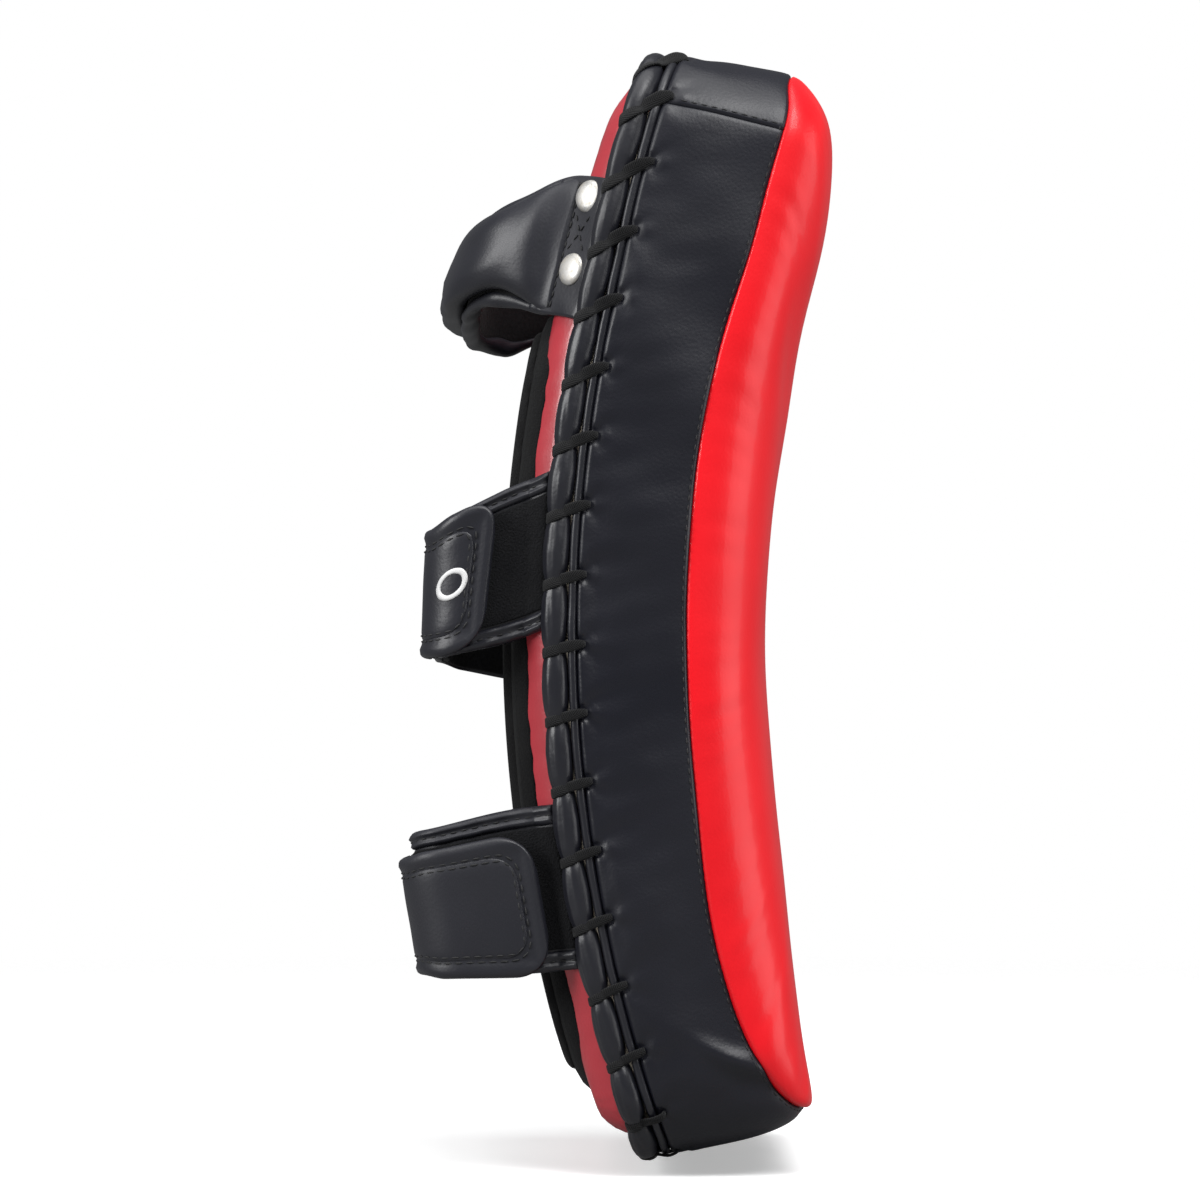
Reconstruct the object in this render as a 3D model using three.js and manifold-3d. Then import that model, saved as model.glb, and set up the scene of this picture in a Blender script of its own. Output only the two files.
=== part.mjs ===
// A curved forearm pad for kick training: a bent foam block in a laced leather case, with a
// riveted hand grip and two hook-and-loop forearm straps on its back.
//
// Frame: millimetres, +Z along the pad, +Y out of its back (the forearm side), -Y out of the
// strike face, -X the side on which the straps close. The origin is the middle of the flat
// land on the forearm cushion, between the two straps.
//
// Two sets of coordinates are used below.
// On the pad: s is the arc length up the pad from the middle of its curve, x is across it,
// and depth is measured from the back of the laced edge towards the strike face.
// On a strap or the grip: x is across the pad, n is the height over the laced edge,
// and w is along the pad from the middle of the strap.

import * as THREE from 'three';
import { mergeVertices } from 'three/addons/utils/BufferGeometryUtils.js';
import Module from 'manifold-3d';

const wasm = await Module();
wasm.setup();

// ---------- driving dimensions ----------

const GAP = 0.4; // left between neighbouring pieces
const LEATHER = 1.6;

// the bent block
const HALF_WIDTH = 98;
const BACK_RADIUS = 545; // side-view arc of the laced edge
const TOP_REACH = 203.3; // arc length from the curve's middle to the top end
const BOTTOM_REACH = 187.4;
const CORNER = 28;
const SEAM_DEPTH = 52; // laced edge to the seam of the strike face
const TOP_LEAN = 0.069; // how much further round the top end reaches at that seam
const CROWN = 31; // strike face over its seam
const CROWN_POWER = 2.4;
const FLARE = { depth: 12, from: 14, power: 14 }; // how the bottom end thickens, and how fast
const TOP_SEAM = { rear: 18, drop: 5 }; // seam of the top panel, below the top end
const FOAM_SPLITS = [19.5, 33.5]; // depths at which one foam layer ends
const ARC_MIDDLE = BACK_RADIUS - SEAM_DEPTH / 2;

// the laced edge
const ROLL = { inset: 4.6, depth: 5.0, halfInset: 4.6, halfDepth: 5.0, sides: 8 };
const PIPING = { inset: 2.4, depth: 12, halfInset: 1.5, halfDepth: 1.5, sides: 6 };
const GUSSET_START = 16.4;
const LACE = { pitch: 24, width: 3.6, thickness: 1.0, outerShare: 0.25 };

// the back
const PANEL_EDGE = [11.2, 1.5]; // inset and depth of the red panel's edge
const PANEL_BROW = [20.5, -7.0]; // where its slope meets its flat
const RAISED = { waist: [0.4, 3], shoulder: [3, 0.8], top: 8 }; // how the cushion's edge rounds over
const CUSHION = { halfWidth: 74, top: 108, bottom: -154.5, corner: 22, rise: 14, cloth: 1.2 };
const LAND = [-50, -22]; // arc stations of the flat land on the cushion

// the straps
const WALL_X = 88.8; // middle of a flap's near wall
const FAR_X = 84; // middle of a strap's far wall
const ROOT_N = 4.6; // where bands and straps leave the panel's slope
const LINING_N = 8; // where a strap's lining starts, clear of the slope
const LAYER = 2.4;
const PATCH = 0.9;
const HOOK_GAP = 0.6;
const PANEL_LAYER = 0.8;
const BINDING = 6; // width of a band's bound edges
const LINING_TUCK = 24; // how far a strap's lining reaches under its flap
const BAND_TUCK = 6; // how far a band reaches under its strap
const SPREAD_FROM = 1 / 6; // share of a strap's rise at which its width starts to change
// drift: how far a strap's middle line lies up the pad at its near root, far root and top
// spread: the share of its width at its roots and at its top
// band: the same two for the band that it closes on
const STRAPS = [
  {
    name: 'middle', station: 20, drift: [7.5, -10.5, -9.2], width: 50, spread: [1.12, 1],
    band: { drift: [7.5, -10.5, -9.2], spread: [1.14, 1] },
    rise: 40.8, bend: 14, tip: 18.4, round: 12,
  },
  {
    name: 'lower', station: -89, drift: [-3.6, 5, -0.4], width: 52, spread: [1, 0.88],
    band: { drift: [1.3, 5, 3.9], spread: [1.15, 1] },
    rise: 54.8, bend: 16, tip: 8, round: 14,
  },
];

// the grip
const GRIP = {
  station: 131.9, droop: [-0.084, 0.0092], sag: 9, tabWidth: 52, barWidth: 35,
  top: 50.8, tab: 2.2, foam: 7.4,
};
const GRIP_SAG = { across: [-55, 60], from: [12, 26], easedAt: [34, 50] }; // where its far half sags
const GRIP_NARROWS = [8, 36]; // heights between which it narrows from its tabs to its bar
const GRIP_BENDS = [[-71.5, 20], [-64, 36]]; // places on its near leg, as [x, n]
const GRIP_SHOULDER = { x: -45, drop: 3 };
const GRIP_TOP_X = -20;
const RIVET = { cap: 6, capHeight: 1.6, shank: 1.9, burr: 4.2, burrHeight: 1, places: [18.4, -8.7] };
const HOLE_REACH = 6; // how far the rivets' holes are cut below the slope
const POCKET_LIFT = 2; // how far a burr's pocket is cut above it

// ---------- materials ----------

function material(color, roughness, metalness = 0) {
  return new THREE.MeshStandardMaterial({ color, roughness, metalness });
}

const BLACK_LEATHER = material(0x1b1c1e, 0.45);
const RED_LEATHER = material(0xd4181f, 0.35);
const BLACK_CLOTH = material(0x131314, 0.95);
const LACE_CORD = material(0x0c0c0d, 0.9);
const HOOK_TAPE = material(0x18181a, 0.98);
const FOAM = material(0xcfc8b8, 0.95);
const EVA = material(0x4b4f55, 0.9);
const NICKEL = material(0xc9c6bd, 0.3, 1);

// ---------- the pad's own coordinates ----------

const [landLow, landHigh] = LAND.map((s) => s / ARC_MIDDLE);
const LAND_REACH = (BACK_RADIUS + CUSHION.rise) * (Math.cos(landLow) + Math.cos(landHigh)) / 2;
const LAND_Z = LAND_REACH * (Math.tan(landLow) + Math.tan(landHigh)) / 2;

// The bottom end thickens towards the strike face, most at its very edge.
function flare(s, depth) {
  const reach = Math.max(0, TOP_REACH - BOTTOM_REACH - 2 * s) / (TOP_REACH + BOTTOM_REACH);
  const share = THREE.MathUtils.clamp((depth - FLARE.from) / (SEAM_DEPTH - FLARE.from), 0, 1);
  return FLARE.depth * reach ** FLARE.power * share;
}

function bend(x, s, depth) {
  const lean = s > 0 ? 1 + TOP_LEAN * depth / SEAM_DEPTH : 1;
  const angle = s / ARC_MIDDLE * lean;
  const radius = BACK_RADIUS - depth - flare(s, depth);
  return new THREE.Vector3(x, radius * Math.cos(angle) - LAND_REACH, radius * Math.sin(angle) - LAND_Z);
}

// Columns around a rounded rectangle: each has a point on the edge and the point of the
// middle line that it shrinks towards.
function columnsOf({ halfWidth, top, bottom, corner, stations }) {
  const right = [];
  const ends = [0, 0.5, 1].map((share) => share * (halfWidth - corner));
  const turn = [1, 2, 3, 4].map((step) => step * Math.PI / 8);
  for (const x of ends) right.push([x, top]);
  for (const angle of turn) {
    right.push([
      halfWidth - corner + corner * Math.sin(angle),
      top - corner + corner * Math.cos(angle),
    ]);
  }
  for (const s of stations) right.push([halfWidth, s]);
  for (const angle of [0, ...turn.slice(0, 3)]) {
    right.push([
      halfWidth - corner + corner * Math.cos(angle),
      bottom + corner - corner * Math.sin(angle),
    ]);
  }
  for (const x of ends.reverse()) right.push([x, bottom]);
  const left = right.slice(1, -1).reverse().map(([x, s]) => [-x, s]);
  const coreTop = top - halfWidth;
  const coreBottom = bottom + halfWidth;
  return [...right, ...left].map(([x, s]) => ({
    edge: new THREE.Vector2(x, s),
    core: new THREE.Vector2(0, THREE.MathUtils.clamp(s, coreBottom, coreTop)),
  }));
}

const SIDE_STATIONS = 12;
const CUSHION_STATIONS = 4;

function evenStations(from, to, count) {
  return Array.from({ length: count }, (_, i) => from + (to - from) * (i + 1) / (count + 1));
}

const PAD_COLUMNS = columnsOf({
  halfWidth: HALF_WIDTH,
  top: TOP_REACH,
  bottom: -BOTTOM_REACH,
  corner: CORNER,
  stations: evenStations(TOP_REACH - CORNER, CORNER - BOTTOM_REACH, SIDE_STATIONS),
});

const CUSHION_COLUMNS = columnsOf({
  ...CUSHION,
  stations: [
    ...evenStations(CUSHION.top - CUSHION.corner, LAND[1], CUSHION_STATIONS),
    LAND[1],
    LAND[0],
    ...evenStations(LAND[0], CUSHION.bottom + CUSHION.corner, CUSHION_STATIONS),
  ],
});

// ---------- shaping ----------

function weld(geometry) {
  geometry.deleteAttribute('normal');
  geometry.deleteAttribute('uv');
  const merged = mergeVertices(geometry, 1e-4);
  const index = merged.index.array;
  const kept = [];
  for (let i = 0; i < index.length; i += 3) {
    const [a, b, c] = [index[i], index[i + 1], index[i + 2]];
    if (a !== b && b !== c && c !== a) kept.push(a, b, c);
  }
  merged.setIndex(kept);
  if (signedVolume(merged) < 0) merged.setIndex(kept.reverse());
  return merged;
}

function signedVolume(geometry) {
  const position = geometry.attributes.position;
  const corner = (i) => new THREE.Vector3().fromBufferAttribute(position, geometry.index.getX(i));
  let volume = 0;
  for (let i = 0; i < geometry.index.count; i += 3) {
    volume += corner(i).dot(corner(i + 1).cross(corner(i + 2))) / 6;
  }
  return volume;
}

function reshape(geometry, map) {
  const position = geometry.attributes.position;
  for (let i = 0; i < position.count; i += 1) {
    const point = map(position.getX(i), position.getY(i), position.getZ(i), i);
    position.setXYZ(i, point.x, point.y, point.z);
  }
  return weld(geometry);
}

function toSolid(geometry) {
  const mesh = geometry.attributes.normal ? weld(geometry) : geometry;
  return new wasm.Manifold(new wasm.Mesh({
    numProp: 3,
    vertProperties: new Float32Array(mesh.attributes.position.array),
    triVerts: new Uint32Array(mesh.index.array),
  }));
}

function fromSolid(solid) {
  const mesh = solid.getMesh();
  const geometry = new THREE.BufferGeometry();
  geometry.setAttribute('position', new THREE.BufferAttribute(mesh.vertProperties, 3));
  geometry.setIndex(new THREE.BufferAttribute(mesh.triVerts, 1));
  return geometry;
}

function cutAway(geometry, cutters) {
  const solid = cutters.reduce((rest, cutter) => rest.subtract(toSolid(cutter)), toSolid(geometry));
  return fromSolid(solid);
}

// A ring or a disc around the pad. The profile is [inset, depth] points, like a lathe's: it
// closes on itself, or it starts and ends on the middle line.
function around(profile, columns = PAD_COLUMNS, halfWidth = HALF_WIDTH, shift = () => 0) {
  const rows = profile.map(([inset, depth]) => new THREE.Vector2(halfWidth - inset, depth));
  const lathe = new THREE.LatheGeometry(rows, columns.length);
  return reshape(lathe, (_x, _y, _z, i) => {
    const { edge, core } = columns[Math.floor(i / rows.length) % columns.length];
    const [inset, depth] = profile[i % rows.length];
    const plan = edge.clone().lerp(core, inset / halfWidth);
    return bend(plan.x, plan.y, depth + shift(plan.y, depth));
  });
}

function roundProfile({ inset, depth, halfInset, halfDepth, sides }) {
  const flat = 1 / Math.cos(Math.PI / sides);
  return Array.from({ length: sides + 1 }, (_, i) => {
    const angle = (i % sides + 0.5) * 2 * Math.PI / sides;
    return [inset + halfInset * flat * Math.cos(angle), depth + halfDepth * flat * Math.sin(angle)];
  });
}

// Moves an open profile sideways by a distance, to its left as it is walked.
function offsetProfile(profile, distance) {
  return profile.map((point, i) => {
    const before = profile[Math.max(i - 1, 0)];
    const after = profile[Math.min(i + 1, profile.length - 1)];
    const run = new THREE.Vector2(after[0] - before[0], after[1] - before[1]).normalize();
    return [point[0] - run.y * distance, point[1] + run.x * distance];
  });
}

// Splits the long spans of an open profile, so that it can follow the bend.
function refined(profile, longest = 25) {
  return profile.flatMap((point, i) => {
    if (i === 0) return [point];
    const from = profile[i - 1];
    const parts = Math.ceil(Math.abs(point[0] - from[0]) / longest) || 1;
    const step = (k) => from.map((value, axis) => value + (point[axis] - value) * (k + 1) / parts);
    return Array.from({ length: parts }, (_, k) => step(k));
  });
}

// The closed profile of a dish, from the outer and inner faces walked from edge to middle.
function dish(outer, inner) {
  return [...outer].reverse().concat(inner);
}

// ---------- the bent block ----------

const CROWN_STEPS = [0, 0.03, 0.08, 0.16, 0.3, 0.5, 0.75, 1];

function crownProfile(sink) {
  const outer = CROWN_STEPS.map((share) => [
    share * HALF_WIDTH,
    SEAM_DEPTH + CROWN * Math.sqrt(1 - (1 - share) ** CROWN_POWER),
  ]);
  const inner = offsetProfile(outer, -sink);
  inner[0] = [sink, SEAM_DEPTH];
  inner[inner.length - 1][0] = HALF_WIDTH;
  return sink ? inner : outer;
}

function strikeCover() {
  return around(dish(crownProfile(0), crownProfile(LEATHER)));
}

function frontFoam() {
  const skin = LEATHER + GAP;
  const base = FOAM_SPLITS[1] + GAP;
  return around([[HALF_WIDTH, base], [skin, base], ...crownProfile(skin)]);
}

function middleFoam() {
  const skin = LEATHER + GAP;
  const [low, high] = FOAM_SPLITS;
  return around([[HALF_WIDTH, low + GAP], [skin, low + GAP], [skin, high], [HALF_WIDTH, high]]);
}

function rearFoam() {
  const skin = LEATHER + GAP;
  const lower = PANEL_BROW[1] + skin;
  const shoulder = PANEL_EDGE[0] + skin;
  return around([
    [HALF_WIDTH, lower],
    [PANEL_BROW[0] + skin * 0.5, lower],
    [shoulder, PANEL_EDGE[1] + skin],
    [shoulder, GUSSET_START],
    [skin, GUSSET_START + GAP],
    [skin, FOAM_SPLITS[0]],
    [HALF_WIDTH, FOAM_SPLITS[0]],
  ]);
}

function gussetRing() {
  const end = SEAM_DEPTH - GAP;
  return around([[0, GUSSET_START], [0, end], [LEATHER, end], [LEATHER, GUSSET_START], [0, GUSSET_START]]);
}

// The wedge of space above the seam that joins the top panel to the long gusset.
function aboveTopSeam(lift) {
  const rear = bend(0, TOP_REACH - TOP_SEAM.rear + lift, 0);
  const front = bend(0, TOP_REACH - TOP_SEAM.rear - TOP_SEAM.drop + lift, SEAM_DEPTH);
  const slope = Math.atan2(front.z - rear.z, rear.y - front.y);
  const block = new THREE.BoxGeometry(4 * HALF_WIDTH, 4 * HALF_WIDTH, HALF_WIDTH);
  block.translate(0, 0, HALF_WIDTH / 2);
  block.rotateX(-slope);
  block.translate(0, rear.y, rear.z);
  return block;
}

function topGusset() {
  return fromSolid(toSolid(gussetRing()).intersect(toSolid(aboveTopSeam(GAP / 2))));
}

function longGusset() {
  return cutAway(gussetRing(), [aboveTopSeam(-GAP / 2)]);
}

function backPanel(holes) {
  const outer = [PANEL_EDGE, PANEL_BROW, [HALF_WIDTH, PANEL_BROW[1]]];
  const inner = offsetProfile(outer, LEATHER);
  inner[2][0] = HALF_WIDTH;
  return cutAway(around(dish(refined(outer), refined(inner))), holes);
}

// ---------- the laced edge ----------

// One turn of the lace around the roll and the piping, as [inset, depth] points. The first
// five are the stretch that shows on the side of the pad.
const LACE_LOOP = [
  [2.3, -0.95], [-0.95, 2.5], [-0.95, 8.2], [0.1, 13.2], [2.4, 15],
  [4.4, 14.4], [10.15, 7.6], [10.15, 2.5], [6.9, -0.95],
];
const SHOWN_POINTS = 5;

function perimeter(columns) {
  const lengths = [0];
  columns.forEach(({ edge }, i) => {
    lengths.push(lengths[i] + edge.distanceTo(columns[(i + 1) % columns.length].edge));
  });
  return lengths;
}

const PAD_LENGTHS = perimeter(PAD_COLUMNS);

function alongEdge(distance, inset, depth) {
  const last = PAD_COLUMNS.length - 1;
  const next = PAD_LENGTHS.findIndex((length) => length > distance);
  const i = next > 0 ? next - 1 : last;
  const share = (distance - PAD_LENGTHS[i]) / (PAD_LENGTHS[i + 1] - PAD_LENGTHS[i]);
  const [a, b] = [PAD_COLUMNS[i], PAD_COLUMNS[(i + 1) % PAD_COLUMNS.length]];
  const edge = a.edge.clone().lerp(b.edge, share);
  const core = a.core.clone().lerp(b.core, share);
  const plan = edge.lerp(core, inset / HALF_WIDTH);
  return bend(plan.x, plan.y, depth);
}

function loopPoint(step) {
  const count = LACE_LOOP.length;
  const at = (i) => LACE_LOOP[(i + count) % count];
  const [inset, depth] = at(step);
  const [before, after] = [at(step - 1), at(step + 1)];
  const run = new THREE.Vector2(after[0] - before[0], after[1] - before[1]).normalize();
  return { inset, depth, out: new THREE.Vector2(-run.y, run.x) };
}

function laceAdvance(step) {
  const hidden = LACE_LOOP.length - SHOWN_POINTS;
  const shown = Math.min(step, SHOWN_POINTS) / SHOWN_POINTS * LACE.outerShare;
  const inside = Math.max(step - SHOWN_POINTS, 0) / hidden * (1 - LACE.outerShare);
  return (shown + inside) * LACE.pitch;
}

function lace() {
  const count = LACE_LOOP.length;
  const length = PAD_LENGTHS[PAD_LENGTHS.length - 1];
  const turns = Math.floor(length / LACE.pitch);
  const steps = turns * count - 1;
  const margin = (length - turns * LACE.pitch + LACE.width) / 2;
  const ribbon = new THREE.BoxGeometry(steps, LACE.width, LACE.thickness, steps, 1, 1);
  return reshape(ribbon, (x, y, z) => {
    const step = Math.round(x + steps / 2);
    const { inset, depth, out } = loopPoint(step % count);
    const turn = Math.floor(step / count);
    const distance = margin + turn * LACE.pitch + laceAdvance(step % count) + y;
    return alongEdge(distance, inset + out.x * z, depth + out.y * z);
  });
}

// ---------- the forearm cushion ----------

// Tips the cushion's top between the two land stations into one flat facet, square to +Y.
function landShift(s, depth) {
  const onLand = s > LAND[0] - GAP && s < LAND[1] + GAP;
  if (!onLand) return 0;
  const base = PANEL_BROW[1] - GAP;
  const flatDepth = BACK_RADIUS - LAND_REACH / Math.cos(s / ARC_MIDDLE);
  return (flatDepth + CUSHION.rise) * Math.min((base - depth) / (base + CUSHION.rise), 1);
}

function cushionProfile(sink) {
  const base = PANEL_BROW[1] - GAP;
  const top = -CUSHION.rise + sink;
  const { waist, shoulder } = RAISED;
  return [
    [sink, base],
    [sink + waist[0], base - waist[1] + sink / 2],
    [sink + shoulder[0], top + shoulder[1]],
    [sink + RAISED.top, top],
  ];
}

function cushionCover() {
  const outer = [...cushionProfile(0), [CUSHION.halfWidth, -CUSHION.rise]];
  const inner = [...cushionProfile(CUSHION.cloth), [CUSHION.halfWidth, CUSHION.cloth - CUSHION.rise]];
  return around(dish(refined(outer), refined(inner)), CUSHION_COLUMNS, CUSHION.halfWidth, landShift);
}

function cushionFoam() {
  const skin = CUSHION.cloth + GAP;
  const base = PANEL_BROW[1] - GAP;
  const top = [CUSHION.halfWidth, skin - CUSHION.rise];
  const profile = [[CUSHION.halfWidth, base], ...cushionProfile(skin), top];
  return around(refined(profile), CUSHION_COLUMNS, CUSHION.halfWidth, landShift);
}

// ---------- straps and grip: their own coordinates ----------

// Places a point of a strap or the grip, which stands square on the pad at its station. Its
// middle line drifts along the pad, and its width narrows to a share of itself.
function perch({ station, drift = () => 0, narrow = () => 1 }) {
  const angle = station / ARC_MIDDLE;
  const foot = bend(0, station, 0);
  const outward = new THREE.Vector3(0, Math.cos(angle), Math.sin(angle));
  const upward = new THREE.Vector3(0, -Math.sin(angle), Math.cos(angle));
  return (x, n, w) => foot.clone()
    .addScaledVector(outward, n)
    .addScaledVector(upward, w * narrow(n) + drift(x, n))
    .setX(x);
}

// A flat outline in the x-n plane, given a width along w.
function extruded(outline, low, high) {
  const shape = new THREE.Shape(outline);
  const geometry = new THREE.ExtrudeGeometry(shape, { depth: high - low, bevelEnabled: false });
  geometry.translate(0, 0, low);
  return weld(geometry);
}

// The outline of a layer of given thickness whose middle is moved off a path.
function layerOutline(path, thickness, away = 0) {
  const points = path.map((point) => [point.x, point.y]);
  const left = offsetProfile(points, away + thickness / 2);
  const right = offsetProfile(points, away - thickness / 2);
  return [...left, ...right.reverse()].map(([x, n]) => new THREE.Vector2(x, n));
}

function quarterTurn(centre, radius, from, to, steps = 4) {
  return Array.from({ length: steps + 1 }, (_, i) => {
    const angle = from + (to - from) * i / steps;
    return new THREE.Vector2(centre.x + radius * Math.cos(angle), centre.y + radius * Math.sin(angle));
  });
}

// A block with two rounded corners at its low-n end, used to trim a flap's tip.
function roundedTip({ width, tip, round, rise }) {
  const half = width / 2;
  const top = rise + 20;
  const outline = [
    new THREE.Vector2(top, -half),
    ...quarterTurn(new THREE.Vector2(tip + round, -half + round), round, -Math.PI / 2, -Math.PI),
    ...quarterTurn(new THREE.Vector2(tip + round, half - round), round, Math.PI, Math.PI / 2),
    new THREE.Vector2(top, half),
  ];
  const block = new THREE.ExtrudeGeometry(new THREE.Shape(outline), { depth: 60, bevelEnabled: false });
  return reshape(block, (n, w, x) => new THREE.Vector3(-x - 50, n, w));
}

function trimmed(geometry, tip) {
  return fromSolid(toSolid(geometry).intersect(toSolid(roundedTip(tip))));
}

// ---------- the straps ----------

function flapPath({ rise, bend: radius, tip }) {
  const centre = new THREE.Vector2(-WALL_X + radius, rise - radius);
  return [
    ...quarterTurn(centre, radius, Math.PI / 2, Math.PI),
    new THREE.Vector2(-WALL_X, tip),
  ];
}

function strapPath({ rise, bend: radius }) {
  const centre = new THREE.Vector2(FAR_X - radius, rise - radius);
  return [
    new THREE.Vector2(FAR_X, ROOT_N),
    ...quarterTurn(centre, radius, 0, Math.PI / 2),
    new THREE.Vector2(-WALL_X + radius + GAP, rise),
  ];
}

function bandPath({ rise, bend: radius }) {
  const sunk = LAYER + HOOK_GAP + 2 * PATCH + 2 * GAP;
  const centre = new THREE.Vector2(-WALL_X + radius, rise - radius);
  return [
    new THREE.Vector2(-WALL_X + sunk, ROOT_N),
    ...quarterTurn(centre, radius - sunk, Math.PI, Math.PI / 2),
    new THREE.Vector2(-WALL_X + radius + BAND_TUCK, rise - sunk),
  ];
}

function strapPlace({ station, drift: [near, far, top], spread, rise }) {
  const { lerp, smoothstep } = THREE.MathUtils;
  const root = (x) => lerp(near, far, (x + WALL_X) / (WALL_X + FAR_X));
  return perch({
    station,
    drift: (x, n) => lerp(root(x), top, Math.min(n / rise, 1)),
    narrow: (n) => lerp(...spread, smoothstep(n, rise * SPREAD_FROM, rise)),
  });
}

function strapPieces(strap) {
  const place = strapPlace(strap);
  const bandPlace = strapPlace({ ...strap, ...strap.band });
  const shaped = (geometry) => reshape(geometry, place);
  const bandShaped = (geometry) => reshape(geometry, bandPlace);
  const half = strap.width / 2;
  const layer = (path, thickness, away, margin) =>
    extruded(layerOutline(path, thickness, away), -half + margin, half - margin);
  const over = LAYER / 2 + GAP;
  const flap = flapPath(strap);
  const main = strapPath(strap);
  const band = bandPath(strap);
  const inner = { ...strap, width: strap.width - 10, tip: strap.tip + 5, round: strap.round - 3 };
  const hook = { ...strap, width: strap.width - 8, tip: strap.tip + 4, round: strap.round - 3 };
  const liningPath = [
    new THREE.Vector2(FAR_X, LINING_N),
    ...main.slice(1, -1),
    new THREE.Vector2(main.at(-1).x + LINING_TUCK, main.at(-1).y),
  ];
  const edge = (low) => bandShaped(extruded(
    layerOutline(band, LAYER + PATCH + GAP, -(PATCH + GAP) / 2), low, low + BINDING,
  ));
  return {
    [`${strap.name}_strap`]: [shaped(layer(main, LAYER, 0, 0)), BLACK_LEATHER],
    [`${strap.name}_strap_lining`]: [shaped(layer(liningPath, LAYER, LAYER + GAP, 1)), BLACK_CLOTH],
    [`${strap.name}_flap`]: [shaped(trimmed(layer(flap, LAYER, 0, 0), strap)), BLACK_LEATHER],
    [`${strap.name}_flap_panel`]: [
      shaped(trimmed(layer(flap, PANEL_LAYER, -over - PANEL_LAYER / 2, 0), inner)), BLACK_LEATHER,
    ],
    [`${strap.name}_flap_hook`]: [
      shaped(trimmed(layer(flap, PATCH, over + PATCH / 2, 0), hook)), HOOK_TAPE,
    ],
    [`${strap.name}_band`]: [bandShaped(layer(band, LAYER, 0, BINDING + GAP)), BLACK_LEATHER],
    [`${strap.name}_band_loop`]: [
      bandShaped(layer(band, PATCH, over + PATCH / 2, BINDING + GAP)), HOOK_TAPE,
    ],
    [`${strap.name}_band_binding_upper`]: [edge(half - BINDING), BLACK_LEATHER],
    [`${strap.name}_band_binding_lower`]: [edge(-half), BLACK_LEATHER],
  };
}

// ---------- the grip ----------

const SLOPE = new THREE.Vector2(
  PANEL_BROW[0] - PANEL_EDGE[0],
  PANEL_EDGE[1] - PANEL_BROW[1],
);
const SLOPE_LENGTH = SLOPE.length();
SLOPE.normalize();

// A point over the panel's slope: along it from its edge, and out of it. side is -1 or 1.
function overSlope(side, along, out) {
  const inset = PANEL_EDGE[0] + SLOPE.x * along - SLOPE.y * out;
  const n = -PANEL_EDGE[1] + SLOPE.y * along + SLOPE.x * out;
  return new THREE.Vector2(side * (HALF_WIDTH - inset), n);
}

// The grip droops as it rises, and its far half sags a little below its near half.
function gripDrift(x, n) {
  const { smoothstep } = THREE.MathUtils;
  const { across, from, easedAt } = GRIP_SAG;
  const share = smoothstep(x, ...across) * smoothstep(n, ...from) * (1 - smoothstep(n, ...easedAt) / 2);
  return -(GRIP.droop[0] * n + GRIP.droop[1] * n * n) - GRIP.sag * share;
}

function gripPlace() {
  const share = GRIP.barWidth / GRIP.tabWidth;
  const narrow = (n) => THREE.MathUtils.lerp(1, share, THREE.MathUtils.smoothstep(n, ...GRIP_NARROWS));
  return perch({ station: GRIP.station, drift: gripDrift, narrow });
}

function gripPath() {
  const foot = overSlope(-1, SLOPE_LENGTH + 2, GAP + GRIP.tab / 2);
  const top = GRIP.top - LEATHER / 2;
  const half = [
    foot,
    ...GRIP_BENDS.map(([x, n]) => new THREE.Vector2(x, n)),
    new THREE.Vector2(GRIP_SHOULDER.x, top - GRIP_SHOULDER.drop),
    new THREE.Vector2(GRIP_TOP_X, top),
  ];
  const other = half.map((point) => new THREE.Vector2(-point.x, point.y)).reverse();
  return new THREE.SplineCurve([...half, ...other]).getPoints(18);
}

function gripLayer(thickness, away, margin, skipped = 0) {
  const half = GRIP.tabWidth / 2 - margin;
  const path = gripPath();
  const outline = layerOutline(path.slice(skipped, path.length - skipped), thickness, away);
  return reshape(extruded(outline, -half, half), gripPlace());
}

function gripTab(side, holes) {
  const corners = [[0.5, 0], [SLOPE_LENGTH + 1.5, 0], [SLOPE_LENGTH + 1.5, 1], [0.5, 1]];
  const outline = corners.map(([along, out]) => overSlope(side, along, GAP + out * GRIP.tab));
  const half = GRIP.tabWidth / 2;
  return cutAway(reshape(extruded(outline, -half, half), gripPlace()), holes);
}

// A turned piece that stands on the slope with its axis square to it.
function onSlope(profile, side, w, out) {
  const lathe = new THREE.LatheGeometry(profile.map(([r, h]) => new THREE.Vector2(r, h)), 16);
  const place = perch({ station: GRIP.station });
  return reshape(lathe, (across, height, along) => {
    const foot = overSlope(side, SLOPE_LENGTH / 2 + along, out + height);
    return place(foot.x, foot.y, w + gripDrift(foot.x, foot.y) + across);
  });
}

function rivet(side, w) {
  const { cap, capHeight, shank } = RIVET;
  const tail = -(GRIP.tab + LEATHER + RIVET.burrHeight + 3 * GAP);
  const profile = [
    [0, tail], [shank, tail], [shank, 0], [cap, 0], [cap, capHeight * 0.4],
    [cap * 0.7, capHeight * 0.85], [0, capHeight],
  ];
  return onSlope(profile, side, w, GRIP.tab + 2 * GAP);
}

function burr(side, w) {
  const { shank, burr: rim, burrHeight } = RIVET;
  const bore = shank + GAP;
  const profile = [[bore, 0], [rim, 0], [rim, burrHeight], [bore, burrHeight], [bore, 0]];
  return onSlope(profile, side, w, -LEATHER - GAP - burrHeight);
}

function rivetHole(side, w) {
  const radius = RIVET.shank + GAP;
  const profile = [[0, -HOLE_REACH], [radius, -HOLE_REACH], [radius, HOLE_REACH], [0, HOLE_REACH]];
  return onSlope(profile, side, w, 0);
}

function burrPocket(side, w) {
  const radius = RIVET.burr + GAP;
  const profile = [[0, -HOLE_REACH], [radius, -HOLE_REACH], [radius, POCKET_LIFT], [0, POCKET_LIFT]];
  return onSlope(profile, side, w, 0);
}

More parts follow.
